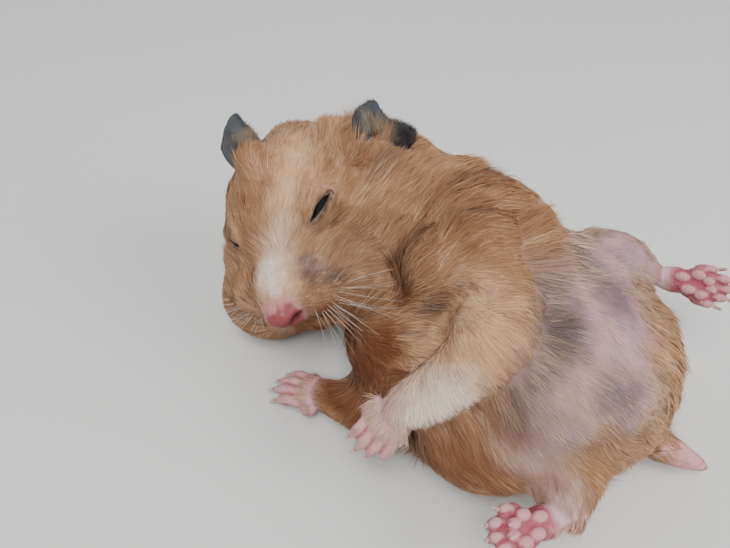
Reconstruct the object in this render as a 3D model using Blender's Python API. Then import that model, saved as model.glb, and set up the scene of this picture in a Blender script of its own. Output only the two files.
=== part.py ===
"""A Syrian hamster asleep on its back and right side, life size, as a still model in named solids.

Units are metres, +Z is up and the animal lies on the plane Z = 0. +X runs from the head to the tail and
-Y is the side that the muzzle and the belly are turned to. The solids reach out to the tips of the coat.

The soft body is modelled whole, from beads that a voxel remesh fuses and a smoothing pass rounds off, and
is then parted into head, neck, trunk and limbs by thin cuts. Paws, ears, eyes, nose and claws, which are
finer than the voxels of the body, are modelled on their own and trimmed to what carries them.
"""

import math

import bmesh
import bpy
from mathutils import Matrix, Vector

MM = 0.001
GAP = 0.3  # clearance between two solids that meet, mm; every length below is in mm too

# ---- Driving dimensions -------------------------------------------------------------------------------
BODY_VOXEL = 1.0
BODY_SMOOTHING = 6
BODY_TRIANGLES = 2000

# The head's own frame: x to the nose, y to its left, z to its crown, from the midpoint between the eyes.
HEAD_AT = Vector((-15.0, 93.5, 27.5))
HEAD_FORWARD = Vector((-0.18, -0.96, -0.08))
HEAD_LEFT = Vector((0.905, -0.16, 0.40))
HEAD_SCALE = 1.06

# The trunk: along the spine towards the head, across to the animal's left, and up.
SPINE_TURN = math.radians(135)
TRUNK_BEADS = {  # centre and radii
    "thorax": ((21.5, 86, 22), (20, 20, 23.5)),
    "ribs": ((27, 77, 26.5), (16, 15, 18)),
    "abdomen": ((34, 70, 19), (25, 23.5, 20.5)),
    "pelvis": ((40, 64, 15.5), (17, 18.5, 16.5)),
    "breast": ((9.5, 75, 14.5), (15.5, 15, 14.5)),
    "flank": ((20.5, 59, 12), (16, 14.5, 13)),
    "withers": ((18, 100.3, 32), (11, 9, 9)),
    "nape": ((7, 101, 28.5), (16, 14, 17)),
    "arm web": ((14, 76.5, 31), (10.5, 10.5, 10.5)),
}
NECK_POINTS = ((16, 92, 23), (-5, 102, 24))
NECK_RADII = (18.5, 16)


def frame_of(forward, left):
    """A rotation whose columns are a forward axis, a left axis squared up to it, and their upward normal."""
    x = Vector(forward).normalized()
    y = (Vector(left) - x * x.dot(Vector(left))).normalized()
    z = x.cross(y)
    return Matrix((x, y, z)).transposed()


HEAD_AXES = frame_of(HEAD_FORWARD, HEAD_LEFT)
SPINE_AXES = Matrix.Rotation(SPINE_TURN, 3, "Z")


def on_head(x, y, z):
    """A place on the head, given in the head's own frame."""
    return HEAD_AT + HEAD_AXES @ (Vector((x, y, z)) * HEAD_SCALE)


# ---- Materials ----------------------------------------------------------------------------------------
def material(name, colour, roughness):
    made = bpy.data.materials.new(name)
    made.use_nodes = True
    shader = made.node_tree.nodes["Principled BSDF"]
    shader.inputs["Base Color"].default_value = (*colour, 1)
    shader.inputs["Roughness"].default_value = roughness
    shader.inputs["Metallic"].default_value = 0.0
    return made


# ---- Beads and how they are fused ---------------------------------------------------------------------
def bead(body, centre, radii, axes=None, fineness=3):
    """Adds an ellipsoid to a bmesh."""
    radii = Vector((radii,) * 3) if isinstance(radii, (int, float)) else Vector(radii)
    turn = (axes or Matrix.Identity(3)).to_4x4()
    place = Matrix.Translation(Vector(centre) * MM) @ turn @ Matrix.Diagonal((*(radii * MM), 1))
    bmesh.ops.create_icosphere(body, subdivisions=fineness, radius=1, matrix=place)


def along(points, radii, t):
    """Place and radius at t, from 0 to 1, on the smooth curve through the points."""
    spans = len(points) - 1
    i = min(int(t * spans), spans - 1)
    u = t * spans - i
    p = [points[max(i - 1, 0)], points[i], points[i + 1], points[min(i + 2, spans)]]
    p = [Vector(q) for q in p]
    place = 0.5 * (2 * p[1] + (p[2] - p[0]) * u + (2 * p[0] - 5 * p[1] + 4 * p[2] - p[3]) * u**2
                   + (3 * p[1] - p[0] - 3 * p[2] + p[3]) * u**3)
    return place, radii[i] * (1 - u) + radii[i + 1] * u


def string(body, points, radii, beads=16, grow=0.0, fineness=3):
    """Adds a tapering limb to a bmesh, as beads threaded on the curve through its joints."""
    for k in range(beads):
        place, radius = along(points, radii, k / (beads - 1))
        bead(body, place, radius + grow, fineness=fineness)


def object_from(name, body):
    mesh = bpy.data.meshes.new(name)
    body.to_mesh(mesh)
    body.free()
    made = bpy.data.objects.new(name, mesh)
    bpy.context.scene.collection.objects.link(made)
    return made


def settle(obj):
    """Replaces an object's mesh by what its modifiers make of it."""
    graph = bpy.context.evaluated_depsgraph_get()
    mesh = bpy.data.meshes.new_from_object(obj.evaluated_get(graph))
    obj.modifiers.clear()
    obj.data = mesh
    return obj


def fuse(obj, voxel, smoothing, triangles=None):
    """Makes overlapping beads one closed surface, rounds it off, and thins it to about so many triangles."""
    remesh = obj.modifiers.new("Fuse", "REMESH")
    remesh.mode = "VOXEL"
    remesh.voxel_size = voxel * MM
    smooth = obj.modifiers.new("Round off", "SMOOTH")
    smooth.factor = 0.5
    smooth.iterations = smoothing
    settle(obj)
    if triangles:
        thin = obj.modifiers.new("Thin out", "DECIMATE")
        thin.ratio = min(1.0, triangles / (2 * len(obj.data.polygons)))
        settle(obj)
    return obj


def largest(obj):
    """Keeps the biggest connected piece of a mesh, so that a cut leaves no crumbs."""
    body = bmesh.new()
    body.from_mesh(obj.data)
    left, pieces = set(body.verts), []
    while left:
        todo = [left.pop()]
        piece = list(todo)
        while todo:
            for edge in todo.pop().link_edges:
                for vert in edge.verts:
                    if vert in left:
                        left.remove(vert)
                        todo.append(vert)
                        piece.append(vert)
        pieces.append(piece)
    pieces.sort(key=len)
    for piece in pieces[:-1]:
        bmesh.ops.delete(body, geom=piece, context="VERTS")
    body.to_mesh(obj.data)
    body.free()
    return obj


def combine(obj, tool, operation):
    """The exact solver drops most of the trunk at its flat cuts, so that the manifold one is used."""
    cut = obj.modifiers.new(operation.title(), "BOOLEAN")
    cut.operation = operation
    cut.solver = "MANIFOLD"
    cut.object = tool
    settle(obj)
    return largest(obj)


def discard(*objects):
    for obj in objects:
        bpy.data.objects.remove(obj)


def copy_of(obj, name):
    made = obj.copy()
    made.data = obj.data.copy()
    made.name = name
    bpy.context.scene.collection.objects.link(made)
    return made


def grown(tool, by):
    """A copy of a closed shape whose surface stands further out."""
    made = copy_of(tool, tool.name + "_grown")
    moves = [vert.normal * by * MM * 1.15 for vert in made.data.vertices]
    for vert, move in zip(made.data.vertices, moves):
        vert.co += move
    return made


def part_off(whole, name, tool):
    """Takes what lies inside a tool away from the whole, as a solid of its own, and leaves the gap between."""
    part = combine(copy_of(whole, name), tool, "INTERSECT")
    wider = grown(tool, GAP)
    combine(whole, wider, "DIFFERENCE")
    discard(tool, wider)
    return part


def clear_of(obj, others):
    """Cuts a solid back until the gap is left between it and each of the others."""
    for other in others:
        wider = grown(other, GAP)
        combine(obj, wider, "DIFFERENCE")
        discard(wider)
    return obj


def beyond(at, normal, size=240.0):
    """A box that fills the half space beyond a plane."""
    normal = Vector(normal).normalized()
    body = bmesh.new()
    bmesh.ops.create_cube(body, size=size * MM)
    turn = Vector((0, 0, 1)).rotation_difference(normal).to_matrix().to_4x4()
    place = Matrix.Translation((Vector(at) + normal * size / 2) * MM) @ turn
    bmesh.ops.transform(body, matrix=place, verts=body.verts)
    return object_from("beyond", body)


def trim(obj, at, normal):
    """Cuts away what lies beyond a plane."""
    box = beyond(at, normal)
    combine(obj, box, "DIFFERENCE")
    discard(box)
    return obj


def split(obj, name, at, normal):
    """Parts what lies beyond a plane from a solid, with the gap between them."""
    normal = Vector(normal).normalized()
    far = trim(copy_of(obj, name), Vector(at) + normal * GAP / 2, -normal)
    trim(obj, Vector(at) - normal * GAP / 2, normal)
    return far


# ---- The soft body ------------------------------------------------------------------------------------
HEAD_BEADS = (  # centre and radii in the head's frame; a bead off the middle plane has a twin across it
    ((-7, 0, 0), (17, 15.5, 14.5)),  # skull
    ((-13, 0, 4), (10, 11, 9.5)),  # crown
    ((7.5, 0, -5.2), (10.5, 8.6, 7.6)),  # muzzle
    ((13.4, 0, -6.0), (5.4, 5.2, 4.9)),  # tip of the snout
    ((-4, 10.5, -8.5), (12.5, 11.5, 10.5)),  # cheek and pouch
    ((9.2, 4.9, -8.2), (6.4, 5.0, 4.9)),  # whisker pad
    ((1, 5.2, 2.4), (7, 4.6, 4.4)),  # brow
    ((5, 3.5, -13), (9.5, 7.5, 6)),  # lower jaw
)
LEFT_CHEEK_BEADS = (  # the left cheek lies loose, and fur fills the corner before the ear
    ((2.5, 12.5, -10.5), (12.5, 12, 11.5)),
    ((-12, 13.5, -5), (11, 12.5, 12.5)),
    ((-14, 12.5, 6.5), (5, 4.5, 4.5)),
)
RIGHT_CHEEK_BEADS = (  # they fill the corner between muzzle and cheek
    ((4.5, -8.2, -8.0), (10.0, 7.0, 7.5)),
    ((8.3, -8.2, -6.2), (6.8, 5.8, 6.2)),
)
GROUND_CHEEK_BEAD = ((-20, 93, 10), (13, 13, 11.5))  # pressed to the ground; not in the head's frame
EAR_RUFF_BEADS = (  # fur before the ears; not in the head's frame either
    ((-6.5, 104, 39.5), (6.3, 6.3, 6.3)),
    ((-1.3, 99.2, 41.6), (4.8, 4.4, 4.4)),
    ((-21.3, 97.2, 40.4), (4.4, 4.4, 4.4)),
)

LIMBS = {  # joints of each limb and the radius there, coat included
    "foreleg_left": (((20, 77, 33), (21, 62.5, 30.5), (5.7, 55.4, 20.9)), (12.5, 8.4, 4.3)),
    "foreleg_right": (((8, 79, 15), (5, 64, 7.8), (-8, 69, 4.7)), (12, 7.3, 4.0)),
    "hindleg_left": (((42, 81, 20), (49.5, 87.5, 23), (58.8, 89.3, 18.7)), (14, 8, 3.2)),
    "hindleg_right": (((36, 58, 16), (34, 49, 13), (32.4, 41.8, 11.8)), (12, 7.4, 3.0)),
}
TAIL_JOINTS = ((44, 62, 11), (52.5, 57, 8), (62, 54.4, 3.6))
TAIL_RADII = (8, 4.1, 1.9)

# Paws are modelled in their own frame: x to the toes, y to the animal's left, z out of the back of the paw.
PAWS = {  # where the wrist or heel is, the way the toes point, and the way the back of the paw faces
    "forepaw_left": ((5.7, 55.4, 20.9), (-0.63, -0.37, -0.69), (-0.10, -0.72, 0.62)),
    "forepaw_right": ((-8, 69, 4.7), (-0.90, 0.30, -0.08), (0.05, -0.10, 1.0)),
    "hind_foot_left": ((58.8, 89.3, 18.7), (0.88, -0.44, 0.12), (0.47, 0.62, -0.63)),
    "hind_foot_right": ((32.4, 41.8, 11.8), (-0.91, -0.36, 0.19), (0.22, 0.37, -0.90)),
}
# Beads of the palm or sole, then the digits from the thumb's side outwards: root, spread in degrees, length.
FORE_PALM = (((-1, 0, 0), (3.6, 3.2, 2.6)), ((3.2, 0, -0.1), (3.4, 4.1, 2.2)))
FORE_DIGITS = (
    ((4.9, 2.75, -0.2), 2, 4.3),
    ((5.6, 0.95, 0), -3, 4.9),
    ((5.4, -0.95, 0), -6, 4.6),
    ((4.5, -2.75, -0.3), -10, 4.1),
)
FORE_PADS = (
    ((2.2, 2.2, -1.7), 1.2),
    ((2.0, -2.2, -1.7), 1.3),
    ((4.8, 1.9, -1.5), 1.05),
    ((5.2, 0, -1.6), 1.1),
    ((4.8, -1.9, -1.5), 1.05),
    ((1.8, 3.5, -1.0), 1.0),
    ((3.0, 4.0, -1.1), 0.75),
)
HIND_SOLE = (((-0.8, 0, 0), (3.2, 2.6, 2.5)), ((5.0, 0, 0), (4.6, 2.8, 2.1)), ((9.2, 0, 0), (3.8, 3.5, 1.9)))
HIND_DIGITS = (
    ((9.0, 3.0, -0.1), 14, 2.4),
    ((11.2, 1.9, 0), 4, 2.9),
    ((11.8, 0.2, 0), 0, 3.1),
    ((11.3, -1.5, 0), -4, 2.9),
    ((9.6, -2.9, -0.1), -12, 2.5),
)
HIND_PADS = (
    ((6.2, 0.9, -1.6), (1.3, 0.95, 0.9)),
    ((7.7, -1.3, -1.6), (1.35, 0.95, 0.9)),
    ((8.9, 1.9, -1.6), (1.3, 0.95, 0.9)),
    ((11.0, 1.1, -1.6), (1.2, 0.9, 0.85)),
    ((11.7, -0.5, -1.5), (1.15, 0.85, 0.8)),
    ((10.2, -1.9, -1.5), (1.25, 0.9, 0.85)),
)
DIGIT_RADII, DIGIT_DROOP = (1.22, 1.08, 0.8), 0.20
CLAW_LENGTH, CLAW_RADIUS, CLAW_TIP = 1.5, 0.42, 0.25

# The eyes are shut, so that each is a dark sliver between its lids.
EYE_LOOKS = {"eye_left": (1.9, 8.0, 4.2), "eye_right": (4.0, -7.7, 4.8)}  # as seen from the middle of the head
EYE_SLANT = Vector((-0.6, 0.6, 0.5))
EYE_RADII = Vector((3.8, 1.3, 1.5))  # along the slit, across it, and into the head

EARS = {  # root, the way to the tip, and the way to the front edge
    "ear_left": (Vector((1.3, 99.2, 42.0)), Vector((-0.05, 0.55, 0.83)), Vector((-0.95, -0.25, 0.11))),
    "ear_right": (Vector((-20.3, 98.5, 40.5)), Vector((-0.66, 0.45, 0.57)), Vector((-0.42, -0.80, 0.12))),
}
EAR_OUTLINE = (  # height over the root, front edge and rear edge: a flap that is folded back behind a tip
    (-1.2, 3.2, -5.0),
    (1.0, 4.0, -7.0),
    (3.0, 4.1, -7.4),
    (4.8, 4.1, -5.6),
    (6.4, 3.9, -3.2),
    (8.4, 2.2, -2.4),
    (9.7, -0.4, -1.9),
)
EAR_CUP, EAR_CUP_MIDDLE, EAR_LEAN, EAR_THICKNESS = 0.085, -1.5, 0.018, 0.8
NOSE_AT, NOSE_RADII = Vector((17.4, 0, -5.2)), Vector((2.7, 3.4, 2.9))


def head_beads(body, grow=0.0):
    for centre, radii in HEAD_BEADS:
        for side in (1, -1) if centre[1] else (1,):
            place = on_head(centre[0], side * centre[1], centre[2])
            bead(body, place, Vector(radii) * HEAD_SCALE + Vector((grow,) * 3), HEAD_AXES)
    for centre, radii in LEFT_CHEEK_BEADS + RIGHT_CHEEK_BEADS:
        bead(body, on_head(*centre), Vector(radii) * HEAD_SCALE + Vector((grow,) * 3), HEAD_AXES)
    for centre, radii in (GROUND_CHEEK_BEAD,) + EAR_RUFF_BEADS:
        bead(body, centre, Vector(radii) + Vector((grow,) * 3))


def whole_body():
    body = bmesh.new()
    for centre, radii in TRUNK_BEADS.values():
        bead(body, centre, radii, SPINE_AXES)
    string(body, NECK_POINTS, NECK_RADII, beads=5)
    head_beads(body)
    for joints, radii in LIMBS.values():
        string(body, joints, radii)
    string(body, TAIL_JOINTS, TAIL_RADII)
    whole = fuse(object_from("chest", body), BODY_VOXEL, BODY_SMOOTHING, BODY_TRIANGLES)
    return trim(whole, (20, 75, 0), (0, 0, -1))


# ---- Parting the soft body ----------------------------------------------------------------------------
def limb_tool(points, radii, margin):
    body = bmesh.new()
    string(body, points, radii, beads=9, grow=margin, fineness=2)
    return fuse(object_from("tool", body), 1.5, 2, 110)


def part_limb(whole, limb, near, far):
    """Parts a limb from the trunk, and then its outer half from its inner half at the middle joint."""
    joints, radii = LIMBS[limb]
    inner = part_off(whole, near, limb_tool(joints, (radii[0] - 1, *radii[1:]), 1.6))
    first, middle, last = (Vector(joint) for joint in joints)
    outer = split(inner, far, middle, (last - middle).normalized() + (middle - first).normalized())
    name = far.replace("forearm", "forepaw").replace("shank", "hind_foot")
    at, axes = paw_frame(name)
    trim(outer, at - axes.col[0] * GAP / 2, axes.col[0])
    return inner, outer


def part_head(whole):
    body = bmesh.new()
    head_beads(body, grow=1.6)
    return part_off(whole, "head", fuse(object_from("tool", body), 2.0, 4, 150))


# ---- Paws and claws -----------------------------------------------------------------------------------
def paw_frame(name):
    """The paw's place and its axes: to the toes, to the left, and out of the back of the paw."""
    at, toes, back = (Vector(v) for v in PAWS[name])
    x = toes.normalized()
    z = (back - x * x.dot(back)).normalized()
    return at, Matrix((x, z.cross(x), z)).transposed()


def digit_joints(name):
    """Root, knuckle and tip of each digit in the paw's frame, from the thumb's side outwards."""
    side = 1 if "right" in name else -1
    for root, spread, length in FORE_DIGITS if "fore" in name else HIND_DIGITS:
        angle = math.radians(spread)
        ahead = Vector((math.cos(angle), side * math.sin(angle), 0))
        start = Vector((root[0], side * root[1], root[2]))
        knuckle = start + ahead * length * 0.5 + Vector((0, 0, 0.25))
        yield start, knuckle, start + ahead * length - Vector((0, 0, DIGIT_DROOP * length))


def paw(name, triangles):
    at, axes = paw_frame(name)
    side = 1 if "right" in name else -1
    body = bmesh.new()

    def put(centre, radii, fineness):
        centre = Vector((centre[0], side * centre[1], centre[2]))
        bead(body, at + axes @ centre, radii, axes, fineness)

    for centre, radii in FORE_PALM if "fore" in name else HIND_SOLE:
        put(centre, radii, 3)
    for centre, radii in FORE_PADS if "fore" in name else HIND_PADS:
        put(centre, radii, 2)
    for joints in digit_joints(name):
        string(body, [at + axes @ joint for joint in joints], DIGIT_RADII, beads=7, fineness=2)
    made = fuse(object_from(name, body), 0.3, 3, triangles)
    return trim(made, at + axes.col[0] * GAP / 2, -axes.col[0])


def horn(name, points, radii, sides=5):
    """A closed tube through the points that tapers as the radii say."""
    body = bmesh.new()
    rings = []
    for k, (point, radius) in enumerate(zip(points, radii)):
        way = (points[min(k + 1, len(points) - 1)] - points[max(k - 1, 0)]).normalized()
        turn = Vector((0, 0, 1)).rotation_difference(way).to_matrix()
        ring = []
        for i in range(sides):
            angle = math.tau * i / sides
            spot = point + turn @ Vector((math.cos(angle), math.sin(angle), 0)) * radius
            ring.append(body.verts.new(spot * MM))
        rings.append(ring)
    for lower, upper in zip(rings, rings[1:]):
        for i in range(sides):
            body.faces.new((lower[i], lower[i - 1], upper[i - 1], upper[i]))
    body.faces.new(rings[0])
    body.faces.new(rings[-1][::-1])
    bmesh.ops.recalc_face_normals(body, faces=body.faces)
    return object_from(name, body)


def claws(name):
    """One claw for each digit: a short cone that curves down before its tip."""
    at, axes = paw_frame(name)
    made = []
    for k, (_, knuckle, tip) in enumerate(digit_joints(name), 1):
        ahead = (tip - knuckle).normalized()
        points, radii = [], []
        for t in (0.0, 0.55, 1.0):
            out = DIGIT_RADII[2] + GAP + CLAW_LENGTH * t
            points.append(at + axes @ (tip + ahead * out + Vector((0, 0, 0.15 - 0.5 * t * t))))
            radii.append(CLAW_RADIUS + (CLAW_TIP - CLAW_RADIUS) * t)
        made.append(horn(f"claw_{name}_{k}", points, radii))
    return made


# ---- Ears, eyes and nose ------------------------------------------------------------------------------
def ear(name):
    """A thin cup whose rear edge curls round and whose tip leans back."""
    root, up, front = EARS[name]
    up = up.normalized()
    front = (front - up * up.dot(front)).normalized()
    hollow = up.cross(front) * (1 if "left" in name else -1)
    body = bmesh.new()
    across, rows = 6, []
    for high, fore, rear in EAR_OUTLINE:
        row = []
        for i in range(across + 1):
            x = rear + (fore - rear) * i / across
            y = EAR_CUP * (x - EAR_CUP_MIDDLE) ** 2 - EAR_LEAN * high**2
            row.append(body.verts.new((root + front * x + hollow * y + up * high) * MM))
        rows.append(row)
    for lower, upper in zip(rows, rows[1:]):
        for i in range(across):
            body.faces.new((lower[i], lower[i + 1], upper[i + 1], upper[i]))
    made = object_from(name, body)
    thick = made.modifiers.new("Thickness", "SOLIDIFY")
    thick.thickness = EAR_THICKNESS * MM
    thick.offset = 0
    thick.use_even_offset = True
    settle(made)
    body = bmesh.new()
    body.from_mesh(made.data)
    bmesh.ops.recalc_face_normals(body, faces=body.faces)
    body.to_mesh(made.data)
    body.free()
    return made


def eye_place(head, name):
    """Where a line from the middle of the head leaves it, and the axes of the eye's slit there."""
    middle = on_head(-2, 0, -1) * MM
    look = on_head(*EYE_LOOKS[name]) * MM - middle
    hit, place, normal, _ = head.ray_cast(middle + look * 4, -look.normalized())
    normal = (normal + look.normalized()).normalized()
    slant = HEAD_AXES @ Vector((EYE_SLANT.x, EYE_SLANT.y if "left" in name else -EYE_SLANT.y, EYE_SLANT.z))
    return place / MM, frame_of(slant - normal * normal.dot(slant), normal.cross(slant))


def eye(name, head):
    place, axes = eye_place(head, name)
    inward = -axes.col[2] if axes.col[2].dot(place - on_head(-2, 0, -1)) > 0 else axes.col[2]
    body = bmesh.new()
    bead(body, place + inward * (EYE_RADII.z - 0.45), EYE_RADII, axes, 2)
    made = object_from(name, body)
    pocket = grown(made, GAP)
    combine(head, pocket, "DIFFERENCE")
    discard(pocket)
    return made


# ---- The whole animal ---------------------------------------------------------------------------------
COAT = ("coat", (0.55, 0.30, 0.15), 0.85)
MATERIALS = {  # of the nodes whose names start so; the rest are coat
    "belly": ("belly coat", (0.50, 0.36, 0.32), 0.8),
    "rump": ("rump coat", (0.46, 0.27, 0.16), 0.85),
    "tail": ("tail skin", (0.70, 0.42, 0.36), 0.6),
    "ear": ("ear skin", (0.09, 0.08, 0.08), 0.7),
    "eye": ("eye", (0.01, 0.01, 0.012), 0.12),
    "nose": ("nose skin", (0.66, 0.26, 0.27), 0.5),
    "forepaw": ("paw skin", (0.74, 0.43, 0.42), 0.55),
    "hind_foot": ("sole skin", (0.74, 0.38, 0.42), 0.55),
    "claw": ("claw", (0.72, 0.60, 0.50), 0.4),
}


def stand_at_origin(made):
    """Moves everything so that the middle of the underside of the bounding box is the origin."""
    corners = [vert.co for obj in made for vert in obj.data.vertices]
    low = Vector([min(c[i] for c in corners) for i in range(3)])
    high = Vector([max(c[i] for c in corners) for i in range(3)])
    shift = Vector((-(low.x + high.x) / 2, -(low.y + high.y) / 2, -low.z))
    for obj in made:
        obj.data.transform(Matrix.Translation(shift))
        obj.data.update()


def main():
    for obj in list(bpy.data.objects):
        bpy.data.objects.remove(obj)
    chest = whole_body()
    made = [chest]
    for side in ("left", "right"):
        made += part_limb(chest, "foreleg_" + side, "upper_arm_" + side, "forearm_" + side)
        made += part_limb(chest, "hindleg_" + side, "thigh_" + side, "shank_" + side)
    head = part_head(chest)
    made += [head, part_off(chest, "tail", limb_tool(TAIL_JOINTS[1:], TAIL_RADII[1:], 0.8))]
    made.append(split(chest, "neck", (4, 92, 24), (-0.85, 0.5, 0)))
    made.append(split(chest, "belly", (24, 74, 20), (0.75, -0.66, 0)))
    made.append(split(made[-1], "rump", (42, 62, 18), (0.75, -0.66, 0)))
    body = bmesh.new()
    bead(body, on_head(*NOSE_AT), NOSE_RADII, HEAD_AXES, 2)
    made.append(part_off(head, "nose", object_from("tool", body)))
    made += [eye("eye_left", head), eye("eye_right", head)]
    carriers = [obj for obj in made if obj.name in ("head", "neck", "chest")]
    made += [clear_of(ear(name), carriers) for name in EARS]
    for name in PAWS:
        made.append(paw(name, 420 if "fore" in name else 500))
        made += claws(name)
    for obj in made:
        values = next((v for k, v in MATERIALS.items() if obj.name.startswith(k)), COAT)
        obj.data.materials.clear()
        obj.data.materials.append(bpy.data.materials.get(values[0]) or material(*values))
        obj.data.shade_smooth()
    stand_at_origin(made)


main()
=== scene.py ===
# %% [markdown]
# # A sleeping Syrian hamster
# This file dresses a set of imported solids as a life-size Syrian hamster, asleep on its back and right side.
# The solids give the outline out to the tips of the coat. Here one skin is built inside them, and the coat
# is grown on it, tuft by tuft. Eyes and claws are taken over from the solids with finishes of their own.

# %% Load the solids
import math

import bmesh
import bpy
import numpy as np
from mathutils import Matrix, Vector
from mathutils.kdtree import KDTree


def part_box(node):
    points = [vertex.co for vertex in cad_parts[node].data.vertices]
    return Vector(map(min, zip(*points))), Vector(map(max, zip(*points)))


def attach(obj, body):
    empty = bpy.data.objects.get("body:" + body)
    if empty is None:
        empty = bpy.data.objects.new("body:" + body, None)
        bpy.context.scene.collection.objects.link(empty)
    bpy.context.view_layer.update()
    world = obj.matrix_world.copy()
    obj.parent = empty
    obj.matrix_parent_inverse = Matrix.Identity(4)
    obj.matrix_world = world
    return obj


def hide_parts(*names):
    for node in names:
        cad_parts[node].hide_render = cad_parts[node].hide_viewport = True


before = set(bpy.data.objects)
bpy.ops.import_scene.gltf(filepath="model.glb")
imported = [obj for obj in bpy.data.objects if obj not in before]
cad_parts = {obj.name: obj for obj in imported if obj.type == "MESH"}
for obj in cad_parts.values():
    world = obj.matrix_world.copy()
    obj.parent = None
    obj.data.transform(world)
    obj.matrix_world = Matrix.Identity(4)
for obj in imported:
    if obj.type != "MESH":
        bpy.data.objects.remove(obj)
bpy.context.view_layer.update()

# %% [markdown]
# Every size below is in millimetres on the maker's bench, the frame that the animal was laid out in. The
# solids were then moved so that they stand on the origin. One solid whose middle is known on the bench, the
# tail, tells how far, so that everything here falls into place without fitting.

# %% From the bench to the row
MM = 0.001
TAIL_MIDDLE = Vector((55.549, 57.097, 7.068))
tail_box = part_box("tail")
BENCH = TAIL_MIDDLE - (tail_box[0] + tail_box[1]) / 2 / MM
print("bench to row, mm:", [round(x, 2) for x in BENCH])


def to_row(points):
    """Bench millimetres to metres in the row frame."""
    return (np.asarray(points, float) - np.array(BENCH)) * MM


def tree_of(places):
    """A tree that finds the nearest of some places."""
    tree = KDTree(len(places))
    for k, place in enumerate(places):
        tree.insert(place, k)
    tree.balance()
    return tree


def in_scene(name, data):
    """An object in the scene for a mesh, a lamp or a camera."""
    made = bpy.data.objects.new(name, data)
    bpy.context.scene.collection.objects.link(made)
    return made


def unit(vectors):
    return vectors / np.maximum(np.linalg.norm(vectors, axis=1, keepdims=True), 1e-9)


def mesh_object(name, points, faces):
    """A mesh object from an array of bench points and an array of faces that all have as many corners."""
    mesh = bpy.data.meshes.new(name)
    corners = faces.shape[1]
    mesh.vertices.add(len(points))
    mesh.vertices.foreach_set("co", to_row(points).astype(np.float32).ravel())
    mesh.loops.add(faces.size)
    mesh.loops.foreach_set("vertex_index", faces.astype(np.int32).ravel())
    mesh.polygons.add(len(faces))
    mesh.polygons.foreach_set("loop_start", np.arange(0, faces.size, corners, dtype=np.int32))
    mesh.update(calc_edges=True)
    mesh.polygons.foreach_set("use_smooth", np.ones(len(faces), bool))
    return in_scene(name, mesh)


# %% [markdown]
# ## The shape of the body
# A hamster is a soft bag: there are no straight lines on it, and each form flows into the next. It could be
# sculpted by hand or cast from metaballs. Here it is laid out as beads, ellipsoids with a place, radii and a
# direction, because a bead can be read and changed one at a time, and a voxel remesh fuses them in a moment.

# %% Frames and beads


def axes_of(forward, left):
    """Columns: a forward axis, a left axis squared up to it, and their upward normal."""
    x = Vector(forward).normalized()
    y = (Vector(left) - x * x.dot(Vector(left))).normalized()
    return Matrix((x, y, x.cross(y))).transposed()


UPRIGHT = Matrix.Identity(3)
SPINE = Matrix.Rotation(math.radians(135), 3, "Z")
HEAD_AT = Vector((-15.0, 93.5, 27.5))
HEAD = axes_of((-0.18, -0.96, -0.08), (0.905, -0.16, 0.40))
HEAD_SCALE = 1.06


def on_head(x, y, z):
    """A place on the head, from the middle of it: x to the nose, y to its left, z to its crown."""
    return HEAD_AT + HEAD @ (Vector((x, y, z)) * HEAD_SCALE)


def head_coordinates(points):
    """Bench points in the head's own frame."""
    return (points - np.array(HEAD_AT)) @ np.array(HEAD) / HEAD_SCALE


def bead(centre, radii, axes=UPRIGHT):
    radii = Vector((radii,) * 3) if isinstance(radii, (int, float)) else Vector(radii)
    return Vector(centre), radii, axes


def threaded(points, radii, count=16):
    """Beads along the smooth curve through a limb's joints."""
    points = [Vector(p) for p in points]
    spans = len(points) - 1
    beads = []
    for k in range(count):
        t = k / (count - 1) * spans
        i = min(int(t), spans - 1)
        u = t - i
        a, b, c, d = (points[max(0, min(j, spans))] for j in (i - 1, i, i + 1, i + 2))
        place = 0.5 * (2 * b + (c - a) * u + (2 * a - 5 * b + 4 * c - d) * u**2 + (3 * b - a - 3 * c + d) * u**3)
        beads.append(bead(place, radii[i] * (1 - u) + radii[i + 1] * u))
    return beads


# %% [markdown]
# The trunk is curled on the ground, so that its beads are turned along the spine. The head has a frame of its
# own, and every bead off its middle plane has a twin across it. The loose left cheek and the right cheek, which
# the ground presses flat, have beads of their own.

# %% Trunk, neck and head
TRUNK = [
    bead((21.5, 86, 22), (20, 20, 23.5), SPINE),  # thorax
    bead((27, 77, 26.5), (16, 15, 18), SPINE),  # ribs
    bead((34, 70, 19), (25, 23.5, 20.5), SPINE),  # abdomen
    bead((40, 64, 15.5), (17, 18.5, 16.5), SPINE),  # pelvis
    bead((9.5, 75, 14.5), (15.5, 15, 14.5), SPINE),  # breast
    bead((20.5, 59, 12), (16, 14.5, 13), SPINE),  # flank
    bead((18, 100.3, 32), (11, 9, 9), SPINE),  # withers
    bead((14, 76.5, 31), 10.5),  # loose skin between breast and arm
]
NECK = [bead((7, 101, 28.5), (16, 14, 17), SPINE)] + threaded(((16, 92, 23), (-5, 102, 24)), (18.5, 16), 5)
MUZZLE_FORMS = (
    ((7.5, 0, -5.2), (10.5, 8.6, 7.6)),  # muzzle
    ((13.4, 0, -6.0), (5.4, 5.2, 4.9)),  # tip of the snout
    ((9.2, 4.9, -8.2), (6.4, 5.0, 4.9)),  # whisker pad
    ((5, 3.5, -13), (9.5, 7.5, 6)),  # lower jaw
)
SKULL_FORMS = (
    ((-7, 0, 0), (17, 15.5, 14.5)),  # skull
    ((-13, 0, 4), (10, 11, 9.5)),  # crown
    ((1, 5.2, 2.4), (7, 4.6, 4.4)),  # brow
)
CHEEK_FORMS = (((-4, 10.5, -8.5), (12.5, 11.5, 10.5)),)
LEFT_CHEEK_FORMS = (
    ((2.5, 12.5, -10.5), (12.5, 12, 11.5)),
    ((-12, 13.5, -5), (11, 12.5, 12.5)),
    ((-14, 12.5, 6.5), (5, 4.5, 4.5)),  # fur in the corner before the ear
)
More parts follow.
